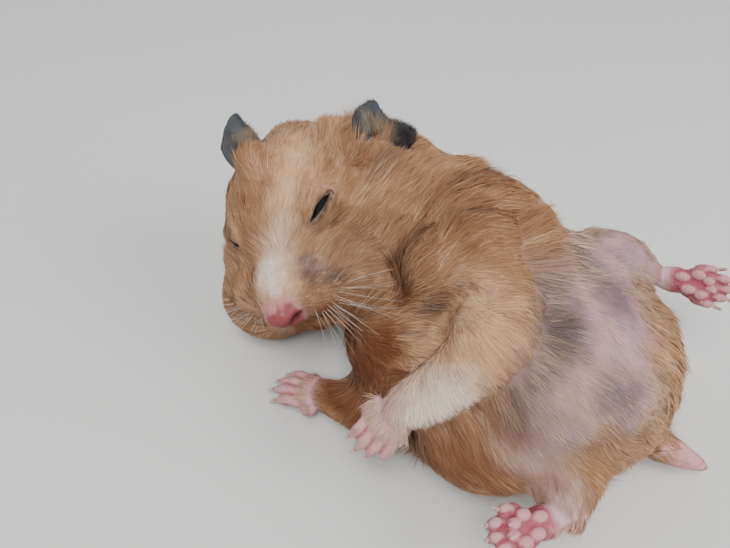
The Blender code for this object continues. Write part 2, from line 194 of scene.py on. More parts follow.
RIGHT_CHEEK_FORMS = (((4.5, -8.2, -8.0), (10.0, 7.0, 7.5)), ((8.3, -8.2, -6.2), (6.8, 5.8, 6.2)))


def head_beads(forms):
    beads = []
    for (x, y, z), radii in forms:
        for side in (1, -1) if y else (1,):
            beads.append(bead(on_head(x, side * y, z), Vector(radii) * HEAD_SCALE, HEAD))
    return beads


MUZZLE = head_beads(MUZZLE_FORMS)
SKULL = head_beads(SKULL_FORMS)
CHEEKS = head_beads(CHEEK_FORMS)
for centre, radii in LEFT_CHEEK_FORMS + RIGHT_CHEEK_FORMS:
    CHEEKS.append(bead(on_head(*centre), Vector(radii) * HEAD_SCALE, HEAD))
CHEEKS += [bead((-20, 93, 10), (13, 13, 11.5))]
SKULL += [bead((-6.5, 104, 39.5), 6.3), bead((-1.3, 99.2, 41.6), (4.8, 4.4, 4.4)), bead((-21.3, 97.2, 40.4), 4.4)]

# %% Limbs and tail
LIMBS = {  # joints, and the radius at each, coat included
    "foreleg_left": (((20, 77, 33), (21, 62.5, 30.5), (5.7, 55.4, 20.9)), (12.5, 8.4, 4.3)),
    "foreleg_right": (((8, 79, 15), (5, 64, 7.8), (-8, 69, 4.7)), (12, 7.3, 4.0)),
    "hindleg_left": (((42, 81, 20), (49.5, 87.5, 23), (58.8, 89.3, 18.7)), (14, 8, 3.2)),
    "hindleg_right": (((36, 58, 16), (34, 49, 13), (32.4, 41.8, 11.8)), (12, 7.4, 3.0)),
}
LEGS = {name: threaded(*limb) for name, limb in LIMBS.items()}
TAIL = threaded(((44, 62, 11), (52.5, 57, 8), (62, 54.4, 3.6)), (8, 4.1, 1.9))

# %% [markdown]
# A hamster has four fingers on the hand and five toes on the foot, with round pads under them. Each paw is laid
# out in its own frame, toes to the front and the back of the paw up, and the left one mirrors the right one.

# %% Paws
PAWS = {  # where the wrist or heel is, the way the toes point, and the way the back of the paw faces
    "forepaw_left": ((5.7, 55.4, 20.9), (-0.63, -0.37, -0.69), (-0.10, -0.72, 0.62)),
    "forepaw_right": ((-8, 69, 4.7), (-0.90, 0.30, -0.08), (0.05, -0.10, 1.0)),
    "hind_foot_left": ((58.8, 89.3, 18.7), (0.88, -0.44, 0.12), (0.47, 0.62, -0.63)),
    "hind_foot_right": ((32.4, 41.8, 11.8), (-0.91, -0.36, 0.19), (0.22, 0.37, -0.90)),
}
FORE_PALM = (((-1, 0, 0), (3.6, 3.2, 2.6)), ((3.2, 0, -0.1), (3.4, 4.1, 2.2)))
FORE_DIGITS = (  # root, spread in degrees, length, from the thumb's side outwards
    ((4.9, 2.75, -0.2), 2, 4.3), ((5.6, 0.95, 0), -3, 4.9), ((5.4, -0.95, 0), -6, 4.6),
    ((4.5, -2.75, -0.3), -10, 4.1),
)
FORE_PADS = (  # place and radius
    ((2.2, 2.2, -1.7), 1.2), ((2.0, -2.2, -1.7), 1.3), ((4.8, 1.9, -1.5), 1.05), ((5.2, 0, -1.6), 1.1),
    ((4.8, -1.9, -1.5), 1.05), ((1.8, 3.5, -1.0), 1.0), ((3.0, 4.0, -1.1), 0.75),
)
HIND_SOLE = (((-0.8, 0, 0), (3.2, 2.6, 2.5)), ((5.0, 0, 0), (4.6, 2.8, 2.1)), ((9.2, 0, 0), (3.8, 3.5, 1.9)))
HIND_DIGITS = (
    ((9.0, 3.0, -0.1), 14, 2.4), ((11.2, 1.9, 0), 4, 2.9), ((11.8, 0.2, 0), 0, 3.1), ((11.3, -1.5, 0), -4, 2.9),
    ((9.6, -2.9, -0.1), -12, 2.5),
)
HIND_PADS = (
    ((6.2, 0.9, -1.6), (1.60, 1.05, 0.9)), ((7.7, -1.3, -1.6), (1.65, 1.05, 0.9)),
    ((8.9, 1.9, -1.6), (1.50, 1.10, 0.9)), ((11.0, 1.1, -1.6), (1.35, 1.00, 0.85)),
    ((11.7, -0.5, -1.5), (1.30, 0.95, 0.8)), ((10.2, -1.9, -1.5), (1.45, 1.10, 0.85)),
)
DIGIT_RADII, DIGIT_DROOP, KNUCKLE_RISE = (1.22, 1.08, 0.8), 0.20, 0.25
BALL_RADII, BALL_DROP = (1.35, 0.95, 0.70), 0.45  # the ball under the end of each digit

# %% A paw's own frame, and its beads


def paw_frame(name):
    """Where the paw is, and its axes: to the toes, to the left, and out of the back of the paw."""
    at, toes, back = (Vector(v) for v in PAWS[name])
    x = toes.normalized()
    z = (back - x * x.dot(back)).normalized()
    return at, Matrix((x, z.cross(x), z)).transposed()


def seen_from_paw(name, points, normals):
    """How far points lie ahead of the wrist or heel, and how much their normals face out of the sole."""
    at, axes = paw_frame(name)
    return (points - np.array(at)) @ np.array(axes.col[0]), -(normals @ np.array(axes.col[2]))


def paw_beads(name):
    """Beads of the palm or sole, of its pads, and of each digit."""
    at, axes = paw_frame(name)
    side = 1 if "right" in name else -1
    fore = "fore" in name
    palm, pads = (
        [bead(at + axes @ Vector((x, side * y, z)), radii, axes) for (x, y, z), radii in table]
        for table in ((FORE_PALM, FORE_PADS) if fore else (HIND_SOLE, HIND_PADS))
    )
    digits = []
    for (x, y, z), spread, length in FORE_DIGITS if fore else HIND_DIGITS:
        ahead = Vector((math.cos(math.radians(spread)), side * math.sin(math.radians(spread)), 0))
        root = Vector((x, side * y, z))
        knuckle = root + ahead * length * 0.5 + Vector((0, 0, KNUCKLE_RISE))
        tip = root + ahead * length - Vector((0, 0, DIGIT_DROOP * length))
        digits.append(threaded([at + axes @ joint for joint in (root, knuckle, tip)], DIGIT_RADII, 9))
        ball = (knuckle + tip) / 2 - Vector((0, 0, BALL_DROP))
        pads.append(bead(at + axes @ ball, BALL_RADII, axes))
    return palm, pads, digits


PAW_PALM, PAW_PADS, PAW_DIGITS = ({name: paw_beads(name)[k] for name in PAWS} for k in range(3))
PAW_FLESH = {name: PAW_PALM[name] + sum(PAW_DIGITS[name], []) for name in PAWS}
NOSE_AT = on_head(17.4, 0, -5.2)
NOSE = [bead(on_head(16.8, 0.5, -6.0), (3.0, 3.3, 3.1), HEAD)]
print("beads:", len(TRUNK + NECK + MUZZLE + SKULL + CHEEKS + TAIL) + sum(map(len, LEGS.values())))

# %% [markdown]
# ## How deep the coat is
# The solids reach out to the tips of the hair, so the skin has to lie below them: by next to nothing on nose,
# ears and paws, by a millimetre on the face, and by about three on the back. One table gives this depth with
# the length, breadth, number and lift of the hair on each region, and every point of the skin takes a blend of
# the regions near it.

# %% Regions of the coat
REGIONS = {  # beads; depth mm, hair length mm, tuft breadth mm, tufts per square mm, lift from the skin
    "muzzle": (MUZZLE, 0.45, 3.4, 0.10, 60, 0.15),
    "skull": (SKULL, 1.0, 4.6, 0.115, 42, 0.18),
    "cheeks": (CHEEKS, 1.7, 5.2, 0.12, 38, 0.22),
    "neck": (NECK, 2.4, 6.4, 0.13, 30, 0.26),
    "trunk": (TRUNK, 2.6, 6.8, 0.14, 28, 0.27),
    "foreleg_left": (LEGS["foreleg_left"], 1.7, 4.6, 0.115, 42, 0.24),
    "foreleg_right": (LEGS["foreleg_right"], 1.4, 4.2, 0.12, 25, 0.22),
    "hindleg_left": (LEGS["hindleg_left"], 1.3, 4.2, 0.12, 26, 0.24),
    "hindleg_right": (LEGS["hindleg_right"], 1.5, 4.6, 0.12, 28, 0.25),
    "tail": (TAIL, 0.5, 1.5, 0.08, 7, 0.18),
}
for name, beads in PAW_FLESH.items():
    REGIONS[name] = (beads, 0.0, 1.3, 0.07, 10 if "hind" in name else 9, 0.12)
REGION_NAMES = list(REGIONS)
BLEND = 1.1  # how far one region runs over into the next, mm


def distance_to(points, beads):
    """Roughly how far points lie outside the nearest bead."""
    nearest = np.full(len(points), 1e9)
    for centre, radii, axes in beads:
        local = (points - np.array(centre)) @ np.array(axes) / np.array(radii)
        away = (np.linalg.norm(local, axis=1) - 1) * min(radii)
        nearest = np.minimum(nearest, away)
    return nearest


def region_shares(points):
    """The share that each region has in each point."""
    away = np.stack([distance_to(points, REGIONS[name][0]) for name in REGION_NAMES], axis=1)
    weight = np.exp(-(away - away.min(axis=1, keepdims=True)) / BLEND)
    return weight / weight.sum(axis=1, keepdims=True)


def region_value(shares, column):
    return shares @ np.array([REGIONS[name][column] for name in REGION_NAMES], float)


# %% [markdown]
# ## Markings
# A golden hamster is tan above. This one has a white blaze that fades up the forehead, cream on the arms, a
# rusty chest, and a thinly haired belly whose mauve skin shows through with slate-grey patches. The rust and
# slate marks also carry painted shade: under the chin, by the cheeks, low on the flank, in the arm's fold and
# under the ear's lobe. Markings could be painted on a map. Here each one is a few soft ellipsoids and bands in
# space, so that skin and coat read the same marks, whatever their meshes look like.

# %% Soft shapes for markings


def smooth(edge0, edge1, values):
    """0 at one edge and 1 at the other, whichever is greater, with a soft passage between."""
    t = np.clip((values - edge0) / (edge1 - edge0), 0, 1)
    return t * t * (3 - 2 * t)


def fade(edge0, edge1, values):
    return 1 - smooth(edge0, edge1, values)


def hump(values, width):
    """1 where the values are 0, and next to nothing two widths away."""
    return np.exp(-((values / width) ** 2))


def spot(points, centre, radii, soft=0.4):
    """1 inside an ellipsoid, 0 well outside it."""
    away = np.linalg.norm((points - np.array(centre, float)) / np.array(radii, float), axis=1)
    return fade(1 - soft, 1 + soft, away)


def band(points, joints, radii, soft=0.35):
    """1 along a broken line with a thickness at each joint, 0 well away from it."""
    nearest = np.full(len(points), 1e9)
    for (a, ra), (b, rb) in zip(zip(joints, radii), zip(joints[1:], radii[1:])):
        a, b = np.array(a, float), np.array(b, float)
        t = np.clip((points - a) @ (b - a) / ((b - a) @ (b - a)), 0, 1)
        away = np.linalg.norm(points - (a + t[:, None] * (b - a)), axis=1) / (ra + t * (rb - ra))
        nearest = np.minimum(nearest, away)
    return fade(1 - soft, 1 + soft, nearest)


WAVES = np.random.default_rng(5)
WAVE_WAYS = WAVES.normal(size=(24, 3))
WAVE_STARTS = WAVES.uniform(0, math.tau, 24)


def mottle(points, size):
    """A soft irregular field between about -1 and 1 whose blotches are about so many mm across."""
    return np.sin(points @ WAVE_WAYS.T * (2.2 / size) + WAVE_STARTS).sum(axis=1) / 4.2


# %% Where each marking lies
ARM_CREASE = (  # where the arm folds against the shoulder
    (9.3, 67.9, 26.1), (11.9, 67.5, 32.0), (13.2, 66.9, 34.7), (15.6, 65.4, 37.6), (17.9, 64.5, 38.9),
)
MARKS = {  # for each, a middle with radii (a spot) or joints with a radius each (a band), and its strength
    "cream": (
        (((-16, 83, 31.5), (-15.2, 88, 38.3), (-14.2, 93, 41.5), (-13.0, 98.5, 43), (-12, 104, 41)),
         (4.0, 2.7, 2.6, 2.9, 3.4), 0.80),
        ((-16.8, 80, 27.5), (5.2, 5.5, 5.6), 0.8),
        (((17, 60, 37), (12, 54, 30), (5, 53, 23)), (7.0, 7.0, 5.5), 0.85), ((-24, 82, 20), (4.6, 5, 5), 0.45),
        ((-10, 104, 43), (9, 6, 4), 0.45), ((11.8, 66, 26.8), (3.6, 4, 6), 0.40), ((50, 57, 26), (9, 10, 11), 0.4),
        (((-6, 90.5, 38.5), (-9.5, 84.5, 33.5)), (3.4, 2.6), 0.4),
    ),
    "white": (
        ((-18.6, 82.0, 28.2), (3.1, 3.9, 4.1), 1.0), (((-18.2, 81, 28), (-17.0, 78.0, 26.2)), (2.3, 1.4), 0.9),
        (((-16.6, 83.5, 31.0), (-14.8, 87, 36)), (3.0, 1.5), 0.35),
        (((13, 52.5, 27), (5.5, 53, 21)), (4.6, 4.6), 0.95),
    ),
    # painted shade: besides rusty fur, these darken the chest under the chin, by the cheeks and low on the flank
    "rust_and_shade": (
        ((-2, 67, 15), (12, 10, 11), 1.0), ((5.5, 71.6, 31.5), (3.4, 4.2, 5.5), 1.0),
        ((3.4, 66.5, 22.5), (6.0, 6.0, 6.5), 1.0), (((5.6, 73.5, 30), (4.6, 78.5, 33.5)), (2.2, 1.8), 0.8),
        ((-27.5, 86, 19), (3.8, 5.5, 7), 0.45), ((23, 84, 44), (12, 15, 9), 0.35),
        (((2, 60, 8), (12, 50, 14), (20, 47, 15)), (9, 8, 6), 0.65), ((-8, 77, 17), (6, 4, 4), 0.5),
        ((-2, 66, 16), (7, 6, 7), 1.0), ((21, 50, 22), (6, 4, 5), 0.4),
    ),
    "bare": (
        ((37.5, 62, 35), (8.6, 11.5, 11), 1.0), (((32, 52, 30), (27, 47.5, 21)), (8.5, 6), 0.85),
        ((40, 53, 30), (7, 7, 8), 0.9), (((41, 74, 37), (48, 84, 31)), (7, 6.5), 1.0),
        (((51, 86, 26), (58, 89, 19)), (5.5, 4.5), 1.0), ((31.5, 43.5, 12.5), (4.0, 3.2, 4.5), 0.9),
    ),
    # painted shade: besides the belly's slate patches, these darken the arm's fold, the left cheek and under the
    # ear's lobe
    "slate_and_shade": (
        ((30.6, 59.2, 36.6), (4.0, 5.0, 4.5), 1.0),
        (((29.5, 66, 39), (27.3, 55, 33.2), (23.1, 52.4, 28.2)), (2.6, 2.9, 2.8), 0.55),
        ((40.0, 65.5, 38.2), (3.4, 4.2, 4), 0.75), ((37.6, 72.6, 38.9), (2.8, 3.0, 3), 0.65),
        ((39.2, 51.0, 30.6), (3.6, 4.2, 4), 0.7), ((24.5, 50.5, 26.5), (3.5, 3.0, 4), 0.35),
        ((31.5, 69.0, 39.5), (3.0, 5.0, 3), 0.35), (((-10.4, 81.6, 28.7), (-5.6, 79.2, 28.2)), (2.5, 2.2), 0.9),
        ((-2, 82, 31), (10, 9, 9), 0.20), (ARM_CREASE, (1.4, 1.4, 1.3, 1.3, 1.1), 0.95),
        (((3.7, 95, 43), (6.6, 98.7, 44.9)), (2.0, 2.0), 0.45),
    ),
}
MARK_NAMES = list(MARKS)
MARK_BLOTCH = {"cream": 2.0, "white": 1.6, "rust_and_shade": 4.0, "bare": 3.2, "slate_and_shade": 1.8}
MARK_SOFTNESS = {"cream": 0.75, "white": 0.85, "rust_and_shade": 0.6, "bare": 0.55, "slate_and_shade": 0.75}


def markings(points):
    """The strength of each marking at each point, one column for each name."""
    columns = []
    for name in MARK_NAMES:
        wander = np.stack([mottle(points + shift, MARK_BLOTCH[name]) for shift in (0, 40, 80)], axis=1)
        moved = points + wander * MARK_BLOTCH[name] * 0.28
        total = np.zeros(len(points))
        for place, size, strength in MARKS[name]:
            shape = band if np.ndim(place) == 2 else spot
            total = np.maximum(total, shape(moved, place, size, MARK_SOFTNESS[name]) * strength)
        columns.append(total)
    return np.stack(columns, axis=1)


# %% [markdown]
# ## The skin
# The whole animal has one skin. The body is fused at a coarse voxel and rounded off, drawn in by the depth of
# the coat, and then fused again at a finer voxel with what is too small for the first pass: paws, ears and
# nose. It never sinks below the ground, where the body's weight flattens it.

# %% Fusing beads
BODY_VOXEL, BODY_ROUNDING = 1.0, 6
SKIN_VOXEL, SKIN_ROUNDING = 0.38, 3
GROUND_CLEARANCE, PAD_CLEARANCE = 0.5, 0.02  # the furred skin and the naked skin stay this high over the ground
THIN_COAT = 0.6  # how much shallower the coat is where the belly is bare
FOLDS = {"cheek": 0.8, "arm": 0.9, "crease": 1.6}  # how deep each fold is drawn in, mm


def add_beads(body, beads, fineness=3):
    for centre, radii, axes in beads:
        place = Matrix.Translation(centre) @ axes.to_4x4() @ Matrix.Diagonal((*radii, 1))
        bmesh.ops.create_icosphere(body, subdivisions=fineness, radius=1, matrix=place)


def arrays_of(mesh):
    """Places and normals of a mesh's points."""
    places, normals = np.empty((2, len(mesh.vertices) * 3), np.float32)
    mesh.vertices.foreach_get("co", places)
    mesh.vertex_normals.foreach_get("vector", normals)
    return places.reshape(-1, 3).astype(float), normals.reshape(-1, 3).astype(float)


def modified(name, body, *modifiers):
    """A mesh made of a working body by modifiers, each given as its kind and settings."""
    mesh = bpy.data.meshes.new(name)
    body.to_mesh(mesh)
    body.free()
    obj = in_scene(name, mesh)
    for kind, settings in modifiers:
        modifier = obj.modifiers.new(kind, kind)
        for setting, value in settings.items():
            setattr(modifier, setting, value)
    graph = bpy.context.evaluated_depsgraph_get()
    made = bpy.data.meshes.new_from_object(obj.evaluated_get(graph))
    bpy.data.objects.remove(obj)
    return made


def fused(name, body, voxel, rounding):
    """Makes overlapping closed shapes one surface and rounds it off. The mesh stays in bench millimetres."""
    remesh = ("REMESH", {"mode": "VOXEL", "voxel_size": voxel})
    return modified(name, body, remesh, ("SMOOTH", {"factor": 0.5, "iterations": rounding}))


# %% The soft body, drawn in by the coat's depth
body = bmesh.new()
for beads in (TRUNK, NECK, MUZZLE, SKULL, CHEEKS, TAIL, *LEGS.values()):
    add_beads(body, beads)
flesh = fused("flesh", body, BODY_VOXEL, BODY_ROUNDING)
points, normals = arrays_of(flesh)
shares = region_shares(points)
thin_coat = markings(points)[:, MARK_NAMES.index("bare")]
depth = region_value(shares, 1) * (1 - THIN_COAT * thin_coat)
points = points - normals * depth[:, None]
points[:, 2] = np.maximum(points[:, 2], GROUND_CLEARANCE)
forms = (CHEEKS, NECK + TRUNK, LEGS["foreleg_left"], TRUNK + CHEEKS)
cheek_away, neck_away, arm_away, side_away = (distance_to(points, beads) for beads in forms)
cheek_fold = hump(cheek_away - neck_away, 1.1) * fade(1.0, 4.0, cheek_away)
arm_fold = hump(arm_away - side_away, 0.9) * fade(1.0, 4.0, arm_away)
arm_fold *= 1 - spot(points, (9, 71, 34), (9, 9, 9), 0.5)
crease = band(points, ARM_CREASE, (1.5, 1.9, 2.0, 1.9, 1.5), 0.8)
drawn_in = FOLDS["cheek"] * cheek_fold + FOLDS["arm"] * arm_fold + FOLDS["crease"] * crease
points = points - normals * drawn_in[:, None]
points[:, 2] = np.maximum(points[:, 2], GROUND_CLEARANCE)
flesh.vertices.foreach_set("co", points.astype(np.float32).ravel())
print("flesh:", len(points), "points, coat depth", depth.min().round(2), "to", depth.max().round(2), "mm")

# %% [markdown]
# An ear is a thin cupped sheet: a tall front flap whose tip leans back, and a lobe behind it. A grid bent to
# that shape and given a thickness stays open inside, which beads could not do.

# %% Ears
EARS = {  # root, the way to the tip, and the way to the front edge
    "ear_left": ((1.3, 99.2, 42.0), (-0.05, 0.55, 0.83), (-0.95, -0.25, 0.11)),
    "ear_right": ((-20.3, 98.5, 40.5), (-0.66, 0.45, 0.57), (-0.42, -0.80, 0.12)),
}
EAR_OUTLINE = np.array((  # height over the root, front edge and rear edge
    (-1.2, 3.2, -5.0), (1.0, 4.0, -7.0), (3.0, 4.1, -7.4), (4.8, 4.1, -5.6), (6.4, 3.9, -3.2), (8.4, 2.2, -2.4),
    (9.7, -0.4, -1.9),
))
EAR_CUP, EAR_CUP_MIDDLE, EAR_LEAN, EAR_THICKNESS = 0.085, -1.5, 0.018, 0.9


def ear_axes(name):
    """Columns: to the front edge, out of the hollow, and up to the tip."""
    _, up, front = (Vector(v) for v in EARS[name])
    up = up.normalized()
    front = (front - up * up.dot(front)).normalized()
    return Matrix((front, up.cross(front) * (1 if "left" in name else -1), up)).transposed()


def ear_sheet(name, across=22, along=26):
    """The middle of the ear's sheet as a grid of points."""
    places = []
    for high in np.linspace(EAR_OUTLINE[0, 0], EAR_OUTLINE[-1, 0], along + 1):
        fore = np.interp(high, EAR_OUTLINE[:, 0], EAR_OUTLINE[:, 1])
        rear = np.interp(high, EAR_OUTLINE[:, 0], EAR_OUTLINE[:, 2])
        for x in np.linspace(rear, fore, across + 1):
            y = EAR_CUP * (x - EAR_CUP_MIDDLE) ** 2 - EAR_LEAN * high**2
            y += 0.30 * math.sin(1.5 * x + 0.8) * smooth(-1.0, 4.0, high) + 1.3 * smooth(-2.5, -6.0, x)
            places.append(Vector(EARS[name][0]) + ear_axes(name) @ Vector((x, y, high)))
    return places, across + 1


def add_ear(body, name):
    places, row = ear_sheet(name)
    sheet = bmesh.new()
    corners = [sheet.verts.new(place) for place in places]
    for k in range(len(places) - row):
        if (k + 1) % row:
            sheet.faces.new((corners[k], corners[k + 1], corners[k + row + 1], corners[k + row]))
    body.from_mesh(modified(name, sheet, ("SOLIDIFY", {"thickness": EAR_THICKNESS, "offset": 0})))


# %% One skin
body = bmesh.new()
body.from_mesh(flesh)
for name in PAWS:
    add_beads(body, PAW_FLESH[name] + PAW_PADS[name], 2)
add_beads(body, [bead(NOSE_AT - HEAD @ Vector((0.6, 0, 0)), (2.4, 3.1, 2.7), HEAD)])
for name in EARS:
    add_ear(body, name)
skin_mesh = fused("skin", body, SKIN_VOXEL, SKIN_ROUNDING)
print("skin:", len(skin_mesh.vertices), "points")

# %% [markdown]
# ## Eyelids, nostrils and mouth
# The eyes are shut to dark slits. Each eyeball lies deep in the head, and the lids are two soft welts that close
# over it. To have points enough for them, the skin is divided more finely round the eyes and on the snout, and
# the welts, nostrils and lips are then drawn by moving points, as a sculptor would with a small tool.

# %% Finer skin on the face


def refine(mesh, zones):
    """Divides the edges of a mesh that lie within a distance of any of the given places."""
    body = bmesh.new()
    body.from_mesh(mesh)
    places = np.array([vert.co for vert in body.verts])
    inside = np.zeros(len(places), bool)
    for centre, radius in zones:
        inside |= np.linalg.norm(places - np.array(centre), axis=1) < radius
    near = [edge for edge in body.edges if inside[edge.verts[0].index]]
    bmesh.ops.subdivide_edges(body, edges=near, cuts=1, use_grid_fill=True)
    body.to_mesh(mesh)
    body.free()


def on_paw(name, x, y, z):
    """A place on a paw: x to the toes, y to its left, z out of its back."""
    at, axes = paw_frame(name)
    return at + axes @ Vector((x, y, z))


SLIT_TURNS = {"eye_left": math.radians(-13), "eye_right": 0.0}  # the left slit lies a little askew on its eyeball


def eye_frame(name):
    """Middle of the eyeball, and axes along the slit, across it and out of the head, as its solid lies."""
    co = np.array([v.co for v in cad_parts[name].data.vertices]) / MM + np.array(BENCH)
    middle = co.mean(axis=0)
    _, _, rows = np.linalg.svd(co - middle, full_matrices=False)
    along, out = rows[0] * np.sign(rows[0][2] + 1e-9), rows[1]
    if out @ (middle - np.array(on_head(-2, 0, -1))) < 0:
        out = -out
    turn = SLIT_TURNS[name]
    along = along * math.cos(turn) + np.cross(out, along) * math.sin(turn)
    return middle, np.stack((along, np.cross(out, along), out), axis=1)


EYES = {name: eye_frame(name) for name in ("eye_left", "eye_right")}
zones = [(middle, 6.0) for middle, _ in EYES.values()] + [(on_head(16.0, 0, -6.5), 7.5)]
for name in PAWS:
    zones.append((on_paw(name, 9.0, 0, -1), 6.5) if "hind" in name else (on_paw(name, 6.0, 0, 0), 5.5))
refine(skin_mesh, zones)
refine(skin_mesh, [(middle, 5.0) for middle, _ in EYES.values()])
print("finer skin:", len(skin_mesh.vertices), "points")

# %% Lids
EYE_LONG, EYE_WIDE, EYE_DEEP = 3.8, 2.6, 1.5  # half the length and breadth of the bulge of the eyeball, its height
SLIT_LONG, SLIT_HALF, SLIT_BOW = 3.65, 0.60, 0.40  # half the slit's length and breadth, and how far it bows
LID_LONG, LID_WIDE, LID_FLOOR = 6.2, 4.6, -3.0  # half the lids' length and breadth, and how deep they may start
LID_REACH = {"eye_left": 0.45, "eye_right": 0.10}  # how far out the lid keeps its full height, as a share


def shape_lids(points, middle, axes, full):
    """Raises the lids over the eyeball and leaves the slit open between them. Also says where slit and lids are."""
    local = (points - middle) @ axes
    a, b, c = local.T
    b = b - SLIT_BOW * (1 - np.clip(np.abs(a) / SLIT_LONG, 0, 1) ** 2)
    reach = np.sqrt((a / LID_LONG) ** 2 + (b / LID_WIDE) ** 2)
    cover = fade(full, 1.0, reach) * (c > LID_FLOOR)
    tinted = fade(0.1, 1.0, reach) * (c > LID_FLOOR)
    ball = EYE_DEEP * np.sqrt(np.clip(1 - (a / (EYE_LONG + 0.5)) ** 2 - (b / EYE_WIDE) ** 2, 0, 1))
    ends = fade(0.7, 1.1, np.abs(a) / SLIT_LONG)
    welt = 0.22 * hump(np.abs(b) - 0.80, 0.45) * ends
    fold = -0.14 * hump(np.abs(b) - 1.9, 0.40) * ends
    target = np.maximum(c, ball + 0.20) + welt + fold
    raised = c + (target - c) * cover
    half = SLIT_HALF * np.clip(1 - (np.abs(a) / SLIT_LONG) ** 2, 0, 1) ** 0.9
    opening = fade(0.6, 1.4, np.abs(b) / np.maximum(half, 0.02)) * (half > 0.02) * (reach < 1)
    raised = raised + (np.minimum(raised, 0.75) - raised) * opening * (np.abs(a) < EYE_LONG - 0.1)
    raised = raised - 0.35 * opening * (np.abs(a) >= EYE_LONG - 0.1)
    shift = (raised - c) * (c > LID_FLOOR) * (reach < 1.0)
    return points + shift[:, None] * axes[:, 2], opening, tinted

# %% Nostrils and mouth


def shape_snout(points, normals):
    """Nostrils, the groove under them, and the line of the mouth. Also says where each of them lies."""
    x, y, z = head_coordinates(points).T
    front = smooth(8.0, 12.0, x)
    nostril = np.exp(-(((np.abs(y) - 2.9) / 0.95) ** 2 + ((z + 6.7 - 0.35 * (np.abs(y) - 2.6)) / 0.85) ** 2))
    nostril = nostril * smooth(13.6, 15.0, x)
    wing = np.exp(-(((np.abs(y) - 2.6) / 1.4) ** 2 + ((z + 4.8) / 0.8) ** 2)) * smooth(14.0, 16.0, x)
    groove = hump(y, 0.38) * smooth(-11.0, -10.0, z) * fade(-8.2, -7.2, z) * smooth(11, 13, x)
    lip_z = -10.6 - 0.030 * y**2
    mouth = hump(z - lip_z, 0.42) * front * fade(6.5, 8.0, np.abs(y))
    shift = -1.25 * nostril + 0.30 * wing - 0.45 * groove - 0.75 * mouth
    return points + normals * shift[:, None], nostril, groove + mouth


# %% Shape the face
points, normals = arrays_of(skin_mesh)
slit, lid = np.zeros((2, len(points)))
for name, (middle, axes) in EYES.items():
    points, opening, tinted = shape_lids(points, middle, axes, LID_REACH[name])
    slit = np.maximum(slit, opening)
    lid = np.maximum(lid, tinted)
points, nostril, lips = shape_snout(points, normals)
print("lid points:", int((lid > 0.3).sum()), "nostril points:", int((nostril > 0.3).sum()))

# %% Folds and pads of the naked skin


def crease_lines(points, ways, spacing, sharp):
    """Fine folds that run across a direction."""
    along = points @ np.array(Vector(ways).normalized()) + 0.35 * mottle(points, 3.0)
    return -np.abs(np.cos(along * math.pi / spacing)) ** sharp


def round_mask(points, centre, radii, axes):
    """1 on a pad and 0 beside it, with a clear edge."""
    local = (points - np.array(centre)) @ np.array(axes)
    away = np.hypot(local[:, 0] / radii[0], local[:, 1] / radii[1])
    return fade(0.55, 1.10, away) * (np.abs(local[:, 2]) < 2.2)


count = len(points)
paw_share, paw_folds, pad_mark, crease_mark = (np.zeros(count) for _ in range(4))
for name in PAWS:
    share = fade(0.0, 1.2, distance_to(points, PAW_FLESH[name] + PAW_PADS[name]))
    paw_share = np.maximum(paw_share, share)
    axes = paw_frame(name)[1]
    along, under = seen_from_paw(name, points, normals)
    under = smooth(-0.1, 0.4, under)
    pads = np.zeros(count)
    for centre, radii, _ in PAW_PADS[name]:
        pads = np.maximum(pads, round_mask(points, centre, radii * 1.05, axes))
    toes = np.sort([distance_to(points, digit) for digit in PAW_DIGITS[name]], axis=0)
    between = fade(0.0, 0.75, toes[1] - toes[0]) * (toes[0] < 1.0)
    sole = share * under * smooth(3.0, 5.0, along) * (1 - pads) * (toes[0] > 0.35)
    pad_mark = np.maximum(pad_mark, share * under * pads)
    crease_mark = np.maximum(crease_mark, np.maximum(sole * (0.85 if "hind" in name else 0.5), between * 0.9))
    paw_folds += share * (crease_lines(points, axes.col[0], 0.85, 8) * 0.06 + 0.22 * under * pads - 0.22 * between)
points[:, 2] = np.maximum(points[:, 2], PAD_CLEARANCE)
skin_mesh.vertices.foreach_set("co", points.astype(np.float32).ravel())
skin_mesh.update()
points, normals = arrays_of(skin_mesh)
points = points + normals * paw_folds[:, None]
print("pad points:", int((pad_mark > 0.5).sum()), "crease points:", int((crease_mark > 0.5).sum()))

# %% [markdown]
# ## What grows where
# Each point of the skin now learns what grows on it: how much it belongs to each region, its markings, and the
# way that its hair lies. Real hair streams away from the nose, up the forehead and back along the body, and
# down each limb. A few dozen guides say that, and every point takes a blend of the nearest ones.

